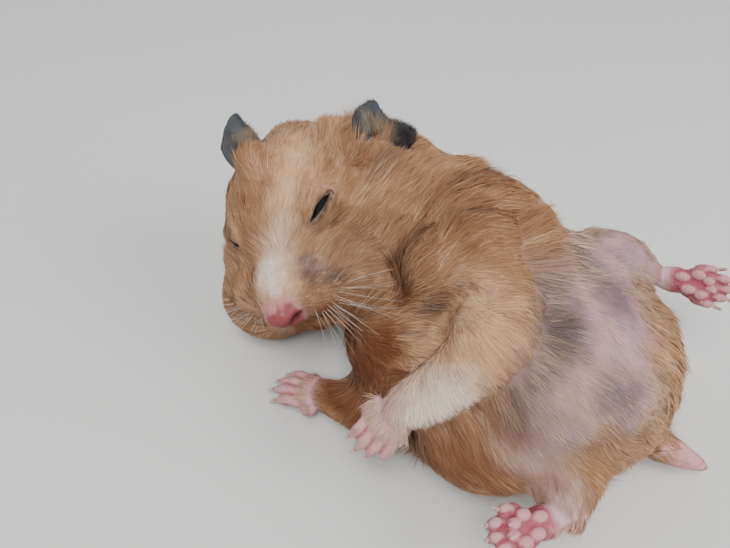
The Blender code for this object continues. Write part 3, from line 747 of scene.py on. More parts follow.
# %% Guides for the lie of the coat
GUIDES = np.array((  # for each guide, its place in mm and the way there
    -16.5, 79, 29, 0.02, 0.75, 0.65,  -19.5, 80, 25, -0.45, 0.75, 0.2,  -13, 79.5, 28, 0.35, 0.75, 0.45,
    -13.4, 90, 40, 0.08, 0.85, 0.5,  -11.4, 98.5, 43, 0.15, 0.98, 0.1,  -20, 90, 38, -0.25, 0.9, 0.35,
    -6.6, 97, 41.7, 0.35, 0.92, 0.2,  -5, 90.5, 38.5, 0.55, 0.75, 0.35,  -10.5, 84, 34.5, 0.35, 0.75, 0.55,
    0.9, 91.3, 38.9, 0.72, 0.55, 0.35,  -5, 83, 32, 0.75, 0.48, 0.45,  0, 83.4, 33.4, 0.82, 0.4, 0.4,
    0, 75.2, 26.1, 0.92, 0.2, 0.25,  5.4, 77.6, 31.4, 0.85, 0.35, 0.35,  -8.5, 78.1, 24.3, 0.85, 0.35, 0.15,
    -11, 74, 20.5, 0.9, 0.1, -0.25,  -2.7, 71, 20.2, 0.85, 0.0, -0.45,  -29.6, 91.6, 17.6, -0.5, 0.8, 0.15,
    -28.5, 84.1, 13.3, -0.6, 0.6, -0.3,  -24, 85, 25, -0.55, 0.7, 0.35,  -30, 98, 8, -0.1, 0.8, -0.5,
    -15, 108, 38, 0.25, 0.75, -0.5,  -20, 115, 25, 0.3, 0.4, -0.8,  3, 108, 41, 0.75, 0.5, -0.2,
    10.6, 70.8, 38.2, 0.78, 0.45, 0.42,  12, 80, 42, 0.85, 0.4, 0.25,  18.3, 73.4, 44.5, 0.92, 0.28, 0.1,
    19, 92.4, 43.7, 0.92, 0.3, -0.05,  27, 85.4, 44.4, 0.97, 0.05, -0.15,  28.7, 72.4, 43.3, 0.93, 0.1, 0.0,
    30.6, 65.6, 38.8, 0.85, -0.35, -0.25,  16, 59.6, 36.3, 0.62, -0.6, -0.45,  19, 66, 39, 0.85, -0.1, 0.0,
    18.5, 57.8, 34.6, 0.65, -0.5, -0.6,  11.5, 55.7, 31.4, 0.42, -0.65, -0.6,  8.0, 53.5, 28.0, 0.25, -0.65, -0.7,
    4.7, 53.3, 25.4, -0.15, -0.6, -0.75,  4, 60, 19, -0.2, 0.2, -0.95,  -2.8, 66.9, 14.4, 0.35, -0.5, -0.75,
    10, 74.2, 25.9, 0.8, 0.1, 0.3,  36, 60, 35, 0.75, -0.5, -0.3,  44, 74, 36, 0.85, 0.1, -0.35,
    29.5, 48.4, 26.2, 0.75, -0.3, -0.6,  10.7, 49.8, 16.1, 0.72, -0.4, -0.5,  22, 45, 15, 0.8, -0.3, -0.55,
    36.5, 45.8, 20.2, 0.7, 0.0, -0.75,  49.3, 57.8, 31.1, 0.8, -0.25, -0.55,  53, 60, 20, 0.7, -0.3, -0.7,
    42.4, 82, 34.7, 0.85, 0.35, -0.35,  10, 113, 20, 0.85, 0.0, -0.45,  35, 98, 15, 0.85, -0.45, -0.3,
    50, 82, 8, 0.6, -0.75, -0.2,  0, 75, 3, 0.7, -0.5, 0.0,  30, 75, 0, 0.75, -0.6, 0.0,  -5, 100, 3, 0.6, 0.6, 0.0,
    52, 57, 12, 0.85, -0.3, -0.4,  60, 54.5, 5, 0.85, -0.25, -0.4,  53, 88, 24, 0.93, 0.3, -0.2,
    33, 46, 13, -0.1, -0.95, -0.1,  5, 64, 8, -0.5, -0.2, -0.3,  -4, 67, 6, -0.93, 0.3, -0.1,
    1, 54.5, 19, -0.7, -0.35, -0.6,  -14, 71, 4.5, -0.93, 0.3, -0.1,  68, 85.5, 21, 0.88, -0.44, 0.1,
    24, 38.5, 14, -0.84, -0.48, 0.16,  -0.5, 104, 46, -0.1, 0.4, 0.9,
)).reshape(-1, 2, 3)
GUIDE_FALL, GUIDE_CORE = 3, 4.0  # how fast a guide's say fades with distance, and how far it is even


def lie_of_hair(points, normals):
    """The way that hair lies at each point, along the skin."""
    total = np.zeros((len(points), 3))
    for place, way in GUIDES:
        away = np.linalg.norm(points - place, axis=1)
        total += way / np.linalg.norm(way) / (away[:, None] ** GUIDE_FALL + GUIDE_CORE)
    total -= normals * (total * normals).sum(axis=1, keepdims=True)
    return unit(total)


# %% Markings and ears as fields on the skin
HEEL_ENDS, WRIST_ENDS = (3.5, 6.0), (-1.0, 1.5)  # where the sole or palm begins, mm ahead of the heel or wrist
shares = region_shares(points)
marks = markings(points)
mark = {name: marks[:, k] for k, name in enumerate(MARK_NAMES)}
ear_share, ear_tan, ear_black_and_shadow, ear_hollow_shade, beside_lobe = np.zeros((5, count))
for name in EARS:
    tree = tree_of(ear_sheet(name, 10, 12)[0])
    away = np.array([tree.find(p)[2] for p in points])
    x, _, high = ((points - np.array(EARS[name][0])) @ np.array(ear_axes(name))).T
    share = fade(0.8, 1.7, away) * np.maximum(smooth(0.8, 2.8, high), smooth(-2.0, -4.0, x))
    beside_lobe = np.maximum(beside_lobe, fade(1.5, 4.5, away) * smooth(-1.5, -4.0, x) * (1 - share))
    across_tan = np.abs(0.65 * (high - 4.4) - 0.76 * (x + 1.2))  # the tan patch lies slantwise on the flap
    tan_here = share * fade(1.2, 2.6, across_tan) * fade(6.0, 7.0, high) * smooth(-4.6, -3.2, x)
    ear_share = np.maximum(ear_share, share)
    ear_tan = np.maximum(ear_tan, tan_here)
    # painted shadow: the lobe's dark skin is painted darker still for the shadow inside its curl
    ear_black_and_shadow = np.maximum(ear_black_and_shadow, share * fade(-4.8, -2.8, x) * fade(3.8, 6.2, high))
    # painted shade: a dark band just inside the front edge, where the cupped flap is in shade
    ear_hollow_shade = np.maximum(ear_hollow_shade, share * fade(0.4, 1.1, np.abs(x - 2.7)) * (high < 7))
print("ear points:", int((ear_share > 0.5).sum()))

# %% Fields of nose, chin, paws and tail
to_nose = np.linalg.norm(points - np.array(NOSE_AT), axis=1)
nose_share = fade(0.0, 1.5, distance_to(points, NOSE) + 0.25 * mottle(points, 1.0))
blush = fade(2.6, 6.2, to_nose + 0.45 * mottle(points, 1.2))
stubble = spot(points, (-9.0, 77.4, 24.0), (4.8, 3.6, 4.2), 0.4) * smooth(3.6, 5.0, to_nose)
thin_patch = band(points, ((-10.2, 81.6, 28.7), (-4.4, 78.8, 28.0)), (2.6, 2.4), 0.6)
sole_share, heel_share = np.zeros(count), np.zeros(count)
for name in PAWS:
    along, under = seen_from_paw(name, points, normals)
    if "hind" in name:
        near = fade(0.0, 1.5, distance_to(points, PAW_FLESH[name]))
        heel_share = np.maximum(heel_share, near * fade(*HEEL_ENDS, along))
    share = fade(0.0, 1.5, distance_to(points, PAW_FLESH[name] + PAW_PADS[name]))
    share *= smooth(*(HEEL_ENDS if "hind" in name else WRIST_ENDS), along)
    sole_share = np.maximum(sole_share, share * smooth(-0.25, 0.25, under))
tail_share = shares[:, REGION_NAMES.index("tail")] * smooth(50, 53, points[:, 0])
flow = lie_of_hair(points, normals)
print("nose points:", int((nose_share > 0.5).sum()), "sole points:", int((sole_share > 0.5).sum()))

# %% How the skin bends along the hair


def bend_along(mesh, points, normals, way, rounds=40):
    """Curvature of the skin in the direction of its hair, 1/mm: above 0 on a bulge, below 0 in a hollow."""
    edges = np.empty(len(mesh.edges) * 2, np.int32)
    mesh.edges.foreach_get("vertices", edges)
    a, b = edges.reshape(-1, 2).T
    size = len(points)
    step = points[b] - points[a]
    long = np.maximum((step**2).sum(axis=1), 1e-6)
    turn = ((normals[b] - normals[a]) * step).sum(axis=1) / long
    total, weight = np.zeros(size), np.full(size, 1e-9)
    for end in (a, b):
        share = ((step * way[end]).sum(axis=1) ** 2 / long) ** 2
        total += np.bincount(end, share * turn, size)
        weight += np.bincount(end, share, size)
    value = np.clip(total / weight, -0.4, 0.4)
    near = np.bincount(a, minlength=size) + np.bincount(b, minlength=size) + 1.0
    for _ in range(rounds):
        value = (value + np.bincount(a, value[b], size) + np.bincount(b, value[a], size)) / near
    return np.clip(value, -0.22, 0.10)


curvature = bend_along(skin_mesh, points, normals, flow)
print("curvature along the hair:", curvature.min().round(3), "to", curvature.max().round(3))

# %% [markdown]
# Hair keeps clear of the eyes: a hair that grows towards a slit is cut short before it, as lashes would keep it
# off, and the slit carries none, the lids only short, fine hair.

# %% Length, breadth, number and lift of the hair


def to_slit(points, middle, axes):
    """How far points are from the line of an eye's slit, and the way to it."""
    a = (points - middle) @ axes[:, 0]
    nearest = middle + np.clip(a, -3.6, 3.6)[:, None] * axes[:, 0] + 1.2 * axes[:, 2]
    way = nearest - points
    away = np.linalg.norm(way, axis=1)
    return away, way / np.maximum(away, 1e-6)[:, None]


near_nose = smooth(2.5, 13.0, to_nose)
length = region_value(shares, 2) * (0.34 + 0.66 * near_nose)
length *= 1 - 0.58 * mark["bare"]
length *= 1 - 0.50 * beside_lobe
length *= 1 - 0.55 * np.maximum(stubble, 0.7 * thin_patch)
length *= 1 - 0.75 * band(points, ARM_CREASE, (2.4, 2.9, 3.0, 2.9, 2.4), 0.5)
lift = region_value(shares, 5) + 0.45 * stubble
lift = lift + 0.22 * spot(points, (-14, 106, 42), (11, 7, 5), 0.5)
ruff = spot(points, (-5.5, 101.5, 41), (5.5, 4.5, 5.0), 0.5)  # the fur stands up before the ear
length = length * (1 + 0.25 * ruff)
lift = lift + 0.30 * ruff
breadth = region_value(shares, 3) * (0.75 + 0.25 * near_nose) * (1 - 0.45 * mark["bare"]) * (1 + 0.3 * stubble)
number = region_value(shares, 4) * (1 - 0.88 * mark["bare"]) * (1 - 0.45 * mark["slate_and_shade"])
number *= (1 - slit) * fade(0.35, 0.8, nostril) * (1 - 0.45 * blush)
number *= 1 - 0.99 * np.minimum(1.5 * nose_share, 1)
number *= 1 - 0.45 * np.maximum(stubble, thin_patch)
number *= 1 - 0.99 * np.minimum(sole_share * 1.2, 1)
lid_grey, lid_pale = np.zeros(count), np.zeros(count)
for middle, axes in EYES.values():
    away, way = to_slit(points, middle, axes)
    towards = smooth(-0.3, 0.3, (flow * way).sum(axis=1))
    room = np.maximum(0.9 * (away - 0.3), 0.6)
    length = length * (1 - towards) + np.minimum(length, room) * towards
    length = np.minimum(length, np.maximum(1.5 * away, 0.8))
    number = number * smooth(0.15, 0.55, away) * (1 + 1.6 * fade(1.5, 4.0, away))
    breadth = breadth * (0.55 + 0.45 * smooth(1.0, 4.0, away))
    lid_grey = np.maximum(lid_grey, fade(0.5, 1.7, away + 0.30 * mottle(points, 1.0)))
    lid_pale = np.maximum(lid_pale, smooth(1.2, 2.0, away) * fade(2.4, 3.8, away))
lid_pale *= 0.3
ON_EARS = (  # each field of the hair, and what it is on the ears
    (length, 1.2 + 1.5 * ear_tan + 0.7 * ear_black_and_shadow),
    (breadth, 0.07),
    (number, 9 + 26 * ear_tan + 22 * ear_black_and_shadow),
    (lift, 0.12),
)
for field, on_ear in ON_EARS:
    field[:] = field * (1 - ear_share) + on_ear * ear_share
number *= 1 - 0.6 * (points[:, 2] < GROUND_CLEARANCE + 0.15)  # few hairs where the body lies on the ground
print("hair length, mm:", length.min().round(2), "to", length.max().round(2))

# %% [markdown]
# The skin object carries what its finish needs as point attributes, triples that hold the markings and where
# the naked parts lie. It takes the place of all the flesh in the solids.

# %% The skin as an object
SEPARATE = ("eye_", "claw_")
skin_mesh.vertices.foreach_set("co", to_row(points).astype(np.float32).ravel())
skin_mesh.name = "skin"
skin_mesh.update()
skin_mesh.polygons.foreach_set("use_smooth", np.ones(len(skin_mesh.polygons), bool))


def store(mesh, name, columns):
    """Keeps three numbers for each point of a mesh under a name that a material can read."""
    layer = mesh.attributes.new(name, "FLOAT_VECTOR", "POINT")
    layer.data.foreach_set("vector", np.stack(columns, axis=1).astype(np.float32).ravel())


skin = in_scene("skin", skin_mesh)
pink_bare = np.maximum.reduce([paw_share, nose_share, tail_share])
SKIN_LAYERS = {  # three fields under each name
    "marks_warm": (mark["cream"], mark["white"], mark["rust_and_shade"]),
    "marks_cool": (mark["bare"], mark["slate_and_shade"], ear_share),
    # painted shade: the second field is where nostrils, the groove and the mouth line are painted very dark
    "naked": (pink_bare, np.maximum(nostril, lips * 0.6), nose_share),
    "close": (sole_share, lid, slit),
    "fine": (pad_mark, crease_mark, blush),
    "ears": (ear_tan, ear_black_and_shadow, ear_hollow_shade),
    "faint": (heel_share, stubble, thin_patch),
}
for name, columns in SKIN_LAYERS.items():
    store(skin_mesh, name, columns)
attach(skin, "root")
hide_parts(*[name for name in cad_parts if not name.startswith(SEPARATE)])
print("skin faces:", len(skin_mesh.polygons))

# %% [markdown]
# ## The coat
# Fur is thousands of fine hairs that gather in small locks. Particle hair would be the quick way, but it is no
# mesh, and a mould or a print needs one. So each lock here is a thin tapering blade of three triangles that
# bends along the body. All blades of a piece are computed together as arrays and joined in one mesh. Blades
# near each other lean to a common tip, which gives the streaky look of real fur, and their normals lean to the
# skin's, so that the coat catches the light as one soft body.

# %% Sample the skin
skin_mesh.calc_loop_triangles()
corner = np.empty(len(skin_mesh.loop_triangles) * 3, np.int32)
skin_mesh.loop_triangles.foreach_get("vertices", corner)
corner = corner.reshape(-1, 3)
side_a = points[corner[:, 1]] - points[corner[:, 0]]
side_b = points[corner[:, 2]] - points[corner[:, 0]]
area = np.linalg.norm(np.cross(side_a, side_b), axis=1) / 2
hairs = area * number[corner].mean(axis=1)
middle_shares = shares[corner].mean(axis=1)
triangle_region = middle_shares.argmax(axis=1)
triangle_middle = points[corner].mean(axis=1)
bare_here = mark["bare"][corner].mean(axis=1) > 0.5
ear_here = ear_share[corner].mean(axis=1) > 0.5
print("skin area, mm2:", int(area.sum()), "tufts asked for:", int(hairs.sum()))


def region_is(*names):
    return np.isin(triangle_region, [REGION_NAMES.index(name) for name in names])


MIDLINE, FLANK_HEIGHT = 1.0, 16  # mm to the left of the head's middle plane, and mm over the bench
left_of_head = head_coordinates(triangle_middle)[:, 1] > MIDLINE
high = triangle_middle[:, 2] > FLANK_HEIGHT
trunk, hindlegs = region_is("trunk"), region_is("hindleg_left", "hindleg_right")
hind_ends = region_is("hind_foot_left", "hind_foot_right", "tail")
COAT_PIECES = {  # which triangles of the skin carry the piece, and its slot
    "coat_ears": (ear_here, "ear skin"),
    "coat_muzzle": (region_is("muzzle") & ~ear_here, "coat"),
    "coat_skull": (region_is("skull") & ~ear_here, "coat"),
    "coat_cheek_left": (region_is("cheeks") & left_of_head & ~ear_here, "coat"),
    "coat_cheek_right": (region_is("cheeks") & ~left_of_head & ~ear_here, "coat"),
    "coat_neck": (region_is("neck") & ~ear_here, "coat"),
    "coat_belly": ((trunk | hindlegs) & bare_here, "belly coat"),
    "coat_back_upper": (trunk & ~bare_here & high & ~ear_here, "coat"),
    "coat_back_lower": (trunk & ~bare_here & ~high, "coat"),
    "coat_foreleg_left": (region_is("foreleg_left", "forepaw_left"), "coat"),
    "coat_foreleg_right": (region_is("foreleg_right", "forepaw_right"), "coat"),
    "coat_hindlegs": ((hindlegs | hind_ends) & ~bare_here, "coat"),
}

# %% Where the blades of a piece stand
MOST_TUFTS, COAT_SEED = 66000, 100
CLUMP, CLUMP_REACH = 14, 2.0  # blades that share a tip, and how near it they have to end, mm
STEPS = np.array((0.0, 0.5, 1.0))
TAPER = np.array((0.75, 1.0))
SOFTNESS, TIP_LEAN = 0.72, 0.12  # how far a blade's normals lean to the skin's, and to its tip
LENGTHS, RISES, BREADTHS = (0.55, 1.12), (0.6, 1.4), (0.6, 1.3)  # from blade to blade, as shares of the region's own
STRAYS, STRAY_RISE = 0.02, 1.6  # how many blades are strays, and how much more they stand off
SWING, CURL, ROLL, PULL = 0.11, 0.08, 0.5, (0.05, 0.5)  # chance in way, bow, roll, and in the pull of the shared tip
TONE_SPREAD, LOCK_SHARE = 0.16, 0.35  # from blade to blade, and what a blade takes over from its lock
LOWEST_BLADE = 0.05  # mm over the ground
BLADE = np.array(((0, 3, 1), (0, 2, 3), (2, 4, 3)))
PATCH = np.array(((-1, 0), (1, 0), (-1, 1), (1, 1), (0, 2))) * 0.0015  # a blade's own place on the map
SKIN_FIELDS = {"length": length, "breadth": breadth, "lift": lift, "curvature": curvature}


def sample(chosen, dice):
    """Roots spread evenly over the chosen triangles, by how many each should carry."""
    weight = np.where(chosen, hairs, 0)
    count = int(min(round(weight.sum()), MOST_TUFTS))
    total = np.cumsum(weight)
    picks = (np.arange(count) + dice.uniform(size=count)) / count * total[-1]
    triangle = np.minimum(np.searchsorted(total, picks), len(weight) - 1)
    a, b = dice.uniform(size=(2, count))
    flip = a + b > 1
    a, b = np.where(flip, 1 - a, a), np.where(flip, 1 - b, b)
    share = np.stack((1 - a - b, a, b), axis=1)
    return corner[triangle], share, int(round(weight.sum()))

# %% [markdown]
# Each piece has a map of its own on which every blade has its patch, so that its colours can be baked into
# a texture. The roots of a piece go nearly round a body, and are laid flat as a globe is.

# %% The map of a piece


def unwrapped(roots):
    """Lays a closed patch of skin flat, like a world map that keeps areas, and says where each root falls."""
    middle = roots.mean(axis=0)
    _, spread, rows = np.linalg.svd(roots - middle, full_matrices=False)
    local = unit((roots - middle) @ rows.T / (spread / spread.max()) ** 0.8)
    turn = np.arctan2(local[:, 1], local[:, 0])
    away = np.sqrt(np.clip((1 - local[:, 2]) / 2, 0, 1))
    flat = np.stack((away * np.cos(turn), away * np.sin(turn)), axis=1)
    low, high = flat.min(axis=0), flat.max(axis=0)
    return 0.04 + 0.92 * (flat - low) / (high - low)

# %% Grow a piece


def grow(name, chosen, slot, seed):
    """Grows one piece of the coat. The order in which chance is asked here settles how the coat looks."""
    dice = np.random.default_rng(seed)
    corners, share, wanted = sample(chosen, dice)
    count = len(corners)

    def here(field):
        """A field of the skin at the roots."""
        values = field[corners]
        return (values * (share if values.ndim == 2 else share[:, :, None])).sum(axis=1)

    def each(values):
        """A blade's value at each of its five points."""
        return np.repeat(values, 5, axis=0)

    root, out, way = here(points), unit(here(normals)), here(flow)
    bend = {key: here(field) for key, field in SKIN_FIELDS.items()}
    side = np.cross(out, way)
    swing = 0.15 * mottle(root, 3.0) + dice.normal(0, SWING, count)
    way = unit(way + side * swing[:, None])
    way = unit(way - out * (way * out).sum(axis=1, keepdims=True))
    side = np.cross(out, way)
    tall = bend["length"] * dice.uniform(*LENGTHS, count) * (1 + 0.10 * mottle(root, 4.0))
    rise = bend["lift"] * dice.uniform(*RISES, count)
    rise[dice.uniform(size=count) < STRAYS] *= STRAY_RISE
    curl = dice.normal(0, CURL, count)
    path = []
    for u in STEPS:
        up_by = tall * rise * (u - 0.52 * u * u) - np.minimum(0.12, 0.05 * tall)
        up_by = up_by - bend["curvature"] * (tall * u) ** 2 / 2
        path.append(root + way * (tall * u)[:, None] + out * up_by[:, None] + side * (tall * curl * u * u)[:, None])
    path = np.stack(path, axis=1)
    heads = dice.choice(count, max(count // CLUMP, 1), replace=False)
    tree = tree_of(path[heads, -1])
    leader = heads[[tree.find(place)[1] for place in path[:, -1]]]
    pull = dice.uniform(*PULL, count) * (np.linalg.norm(path[leader, -1] - path[:, -1], axis=1) < CLUMP_REACH)
    for k, u in enumerate(STEPS):
        path[:, k] += (path[leader, k] - path[:, k]) * (pull * u**1.4)[:, None]
    roll = dice.normal(0, ROLL, count)
    flat = side * np.cos(roll)[:, None] + out * np.sin(roll)[:, None]
    half = bend["breadth"] * dice.uniform(*BREADTHS, count) / 2
    blades = np.empty((count, 5, 3))
    for k in range(2):
        edge = flat * (half * TAPER[k])[:, None]
        blades[:, 2 * k] = path[:, k] - edge
        blades[:, 2 * k + 1] = path[:, k] + edge
    blades[:, 4] = path[:, 2]
    blades = blades.reshape(-1, 3)
    blades[:, 2] = np.maximum(blades[:, 2], LOWEST_BLADE)
    faces = (BLADE[None] + 5 * np.arange(count)[:, None, None]).reshape(-1, 3)
    coat = mesh_object(name, blades, faces)
    facing = unit(np.cross(way, flat))
    lean = unit(out * SOFTNESS + facing * (1 - SOFTNESS) + way * TIP_LEAN)
    coat.data.normals_split_custom_set_from_vertices(each(lean).astype(np.float32))
    spots = unwrapped(root)
    flat_uv = (spots[:, None] + PATCH[None]).reshape(-1, 2)
    layer = coat.data.uv_layers.new(name="OFBake")
    layer.uv.foreach_set("vector", flat_uv[faces.ravel()].astype(np.float32).ravel())
    tone = dice.normal(0.5, TONE_SPREAD, count) + 0.10 * mottle(root, 1.6)
    tone = np.clip(tone + LOCK_SHARE * (tone[leader] - 0.5), 0, 1)
    along = np.tile((0, 0, 0.5, 0.5, 1.0), count)
    shown = markings(path[:, 1] * 0.4 + path[:, 2] * 0.6)
    found = {key: shown[:, k] for k, key in enumerate(MARK_NAMES)}
    found["cream"] = np.maximum(found["cream"], here(lid_pale))
    dark = here(np.maximum(ear_share * (1 - ear_tan), 0.85 * lid_grey))  # ears, and the hair beside the slits
    fair = here(np.maximum(paw_share, 0.7 * blush))  # paws, and the hair about the nose
    store(coat.data, "marks_warm", [each(found[key]) for key in ("cream", "white", "rust_and_shade")])
    store(coat.data, "marks_cool", [each(values) for values in (found["bare"], found["slate_and_shade"], dark)])
    store(coat.data, "blade", (along, each(tone), each(fair)))
    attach(coat, "root")
    span = spots.max(axis=0) - spots.min(axis=0)
    print(f"{name}: {count} tufts of {wanted}, {len(faces)} triangles, map {span.round(2)}")
    return coat


# %% The whole coat
COAT = {name: grow(name, *piece, COAT_SEED + k) for k, (name, piece) in enumerate(COAT_PIECES.items())}
print("coat triangles:", sum(len(piece.data.polygons) for piece in COAT.values()))

# %% [markdown]
# ## Whiskers
# Whiskers are single stiff hairs, white here, thick at the root and fine at the tip. Each is a slender tube of
# three sides on a curve, which keeps a true thickness from every side.

# %% Whiskers
WHISKERS = (  # root on the pad and tip, for the left side
    ((-3.6, 78.2, 27.6), (19, 75.0, 36.5)), ((-4.4, 77.8, 26.6), (10, 74.0, 33.0)),
    ((-4.8, 77.5, 25.8), (13, 70.5, 31.0)), ((-5.4, 77.3, 25.0), (9, 70.5, 27.5)),
    ((-5.6, 77.1, 24.3), (11.5, 67.5, 25.5)), ((-6.2, 77.0, 23.6), (7, 67.2, 23.0)),
    ((-6.0, 76.7, 22.8), (8, 65.4, 20.5)), ((-6.8, 76.7, 22.8), (5.4, 66.1, 18.6)),
    ((-7.2, 76.6, 22.0), (3, 66.8, 17.2)), ((-7.6, 76.6, 21.4), (0.9, 68, 16.0)),
    ((-8.2, 76.7, 21.2), (-2.0, 68.8, 13.8)), ((-9.4, 76.4, 21.8), (-5.0, 69.0, 13.5)),
    ((-4.9, 76.9, 23.6), (14, 68.0, 28.5)),
)
WHISKER_RADIUS, WHISKER_CLEARANCE, RINGS, WHISKER_SEED = 0.040, 0.3, 10, 40
RIGHT_WHISKERS = 0.38, 0.7  # their length and thickness as shares of the left ones'

# %% Tubes along the whiskers


def tube(path, radii, sides=3):
    """Points and triangles of a tapering tube round a path."""
    tangent = unit(np.gradient(path, axis=0))
    first = unit(np.cross(tangent, np.array((0.3, 0.5, 0.8))))
    second = np.cross(tangent, first)
    turn = np.arange(sides) / sides * math.tau
    ring = np.cos(turn)[None, :, None] * first[:, None] + np.sin(turn)[None, :, None] * second[:, None]
    places = (path[:, None] + ring * radii[:, None, None]).reshape(-1, 3)
    faces = []
    for k in range(len(path) - 1):
        for i in range(sides):
            a, b = k * sides + i, k * sides + (i + 1) % sides
            faces += [(a, b, b + sides), (a, b + sides, a + sides)]
    last = (len(path) - 1) * sides
    faces += [(0, 2, 1), (last, last + 1, last + 2)]
    return places, np.array(faces)


def whiskers(side):
    """The whiskers of one side; the right ones mirror the left ones across the head and are shorter."""
    dice = np.random.default_rng(WHISKER_SEED + side)
    long, thick = (1, 1) if side > 0 else RIGHT_WHISKERS
    places, faces, start = [], [], 0
    for root, tip in WHISKERS:
        for twin in range(2):
            ends = head_coordinates(np.array((root, tip), float))
            ends[:, 1] *= side
            root_at, tip_at = (np.array(on_head(*end)) for end in ends)
            root_at = root_at + dice.normal(0, 0.35, 3) * twin
            reach = (tip_at - root_at) * dice.uniform(0.85, 1.1) * (1 - 0.3 * twin) * long
            reach = reach + dice.normal(0, 0.9, 3)
            sag = np.array((0.0, -0.35, -0.9)) * np.linalg.norm(reach) * dice.uniform(-0.06, 0.09)
            steps = np.linspace(0, 1, RINGS)
            path = root_at + reach * steps[:, None] - sag * (4 * steps * (1 - steps))[:, None]
            path[:, 2] = np.maximum(path[:, 2], WHISKER_CLEARANCE)
            radii = WHISKER_RADIUS * (1 - 0.8 * steps**1.2) * (1 - 0.25 * twin) * thick
            more, corners = tube(path, radii)
            places.append(more)
            faces.append(corners + start)
            start += len(more)
    name = "whiskers_left" if side > 0 else "whiskers_right"
    made = mesh_object(name, np.concatenate(places), np.concatenate(faces))
    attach(made, "root")
    return made


WHISKER_SETS = [whiskers(1), whiskers(-1)]
print("whisker triangles:", sum(len(piece.data.polygons) for piece in WHISKER_SETS))

# %% [markdown]
# ## Finishes
# All finishes share three effects, each a node group that is built once: the markings, the change of tone from
# root to tip and from lock to lock, and a fine mottle. Groups put out colours and values only, and the shader
# itself stays in each material.

# %% Node helpers


def feed(tree, socket, value):
    """Links another node's socket to a socket, or sets a number or a colour on it."""
    if isinstance(value, bpy.types.NodeSocket):
        tree.links.new(value, socket)
    else:
        socket.default_value = (*value, 1) if isinstance(value, tuple) else value


def group(name, inputs):
    """A node group with named inputs that puts out one colour, and the sockets inside it."""
    made = bpy.data.node_groups.new(name, "ShaderNodeTree")
    for label, default in inputs.items():
        kind = "NodeSocketColor" if isinstance(default, tuple) else "NodeSocketFloat"
        feed(made, made.interface.new_socket(label, in_out="INPUT", socket_type=kind), default)
    made.interface.new_socket("Colour", in_out="OUTPUT", socket_type="NodeSocketColor")
    return made, made.nodes.new("NodeGroupInput").outputs, made.nodes.new("NodeGroupOutput").inputs["Colour"]


def blend(tree, factor, first, second):
    """A node that mixes two colours; each may be a socket or a colour."""
    node = tree.nodes.new("ShaderNodeMix")
    node.data_type = "RGBA"
    for number, value in ((0, factor), (6, first), (7, second)):
        feed(tree, node.inputs[number], value)
    return node.outputs[2]


def reckon(tree, operation, first, second=0.0, clamp=False):
    """A node that does one sum with two values."""
    node = tree.nodes.new("ShaderNodeMath")
    node.operation = operation
    node.use_clamp = clamp
    feed(tree, node.inputs[0], first)
    feed(tree, node.inputs[1], second)
    return node.outputs[0]


def times(tree, first, second, clamp=False):
    return reckon(tree, "MULTIPLY", first, second, clamp)


def layered(tree, colour, layers):
    """Lays colours over a first one, in order, each where its mask is and at most at its strength."""
    for mask, strength, over in layers:
        colour = blend(tree, mask if strength == 1 else times(tree, mask, strength), colour, over)
    return colour


def noise(tree, scale, detail=3.0, roughness=0.55):
    """A fine cloudy pattern that sticks to the object."""
    node = tree.nodes.new("ShaderNodeTexNoise")
    for label, value in (("Scale", scale), ("Detail", detail), ("Roughness", roughness)):
        node.inputs[label].default_value = value
    where = tree.nodes.new("ShaderNodeTexCoord")
    tree.links.new(where.outputs["Object"], node.inputs["Vector"])
    return node.outputs[0]


# %% Group: markings
GOLD = (0.37, 0.185, 0.088)
CREAM = (0.74, 0.46, 0.26)
WHITE = (0.84, 0.76, 0.68)
# painted shade: this rusty colour is as dark as the shade under the chin
RUST_AND_SHADE = (0.15, 0.043, 0.014)
# painted shade: this grey also stands for the shade in the arm's fold and under the ear's lobe
ASH_AND_SHADE = (0.085, 0.07, 0.078)
PAINTS = {"Rust": RUST_AND_SHADE, "Cream": CREAM, "White": WHITE, "Ash": ASH_AND_SHADE}
amounts = {label + " amount": 0.0 for label in PAINTS}
MARKINGS, given, result = group("markings", {"Ground": GOLD, **PAINTS, **amounts})
layers = [(given[label + " amount"], 1, given[label]) for label in PAINTS]
MARKINGS.links.new(layered(MARKINGS, given["Ground"], layers), result)

# %% Group: tone of a lock
UNDERCOAT, STRAW, BROWN = (0.16, 0.10, 0.075), (0.74, 0.50, 0.30), (0.17, 0.085, 0.045)
SHADE_END, STRAW_GAIN, BROWN_GAIN = 0.75, 1.5, 1.7  # how far up a blade the undercoat shows; how fast tone tells
sockets = {"Colour": GOLD, "Along": 0.5, "Tone": 0.5, "Root shade": 0.45, "Contrast": 0.6}
LOCK_TONE, given, result = group("lock_tone", sockets)
dark_root = reckon(LOCK_TONE, "SUBTRACT", SHADE_END, given["Along"], True)
dark_root = times(LOCK_TONE, dark_root, given["Root shade"])
colour = blend(LOCK_TONE, dark_root, given["Colour"], UNDERCOAT)
offset = reckon(LOCK_TONE, "SUBTRACT", given["Tone"], 0.5)
for sign, gain, over in ((1.0, STRAW_GAIN, STRAW), (-1.0, BROWN_GAIN, BROWN)):
    amount = reckon(LOCK_TONE, "MAXIMUM", times(LOCK_TONE, offset, sign), 0.0)
    amount = times(LOCK_TONE, times(LOCK_TONE, amount, given["Contrast"]), gain, True)
    colour = blend(LOCK_TONE, amount, colour, over)
LOCK_TONE.links.new(colour, result)

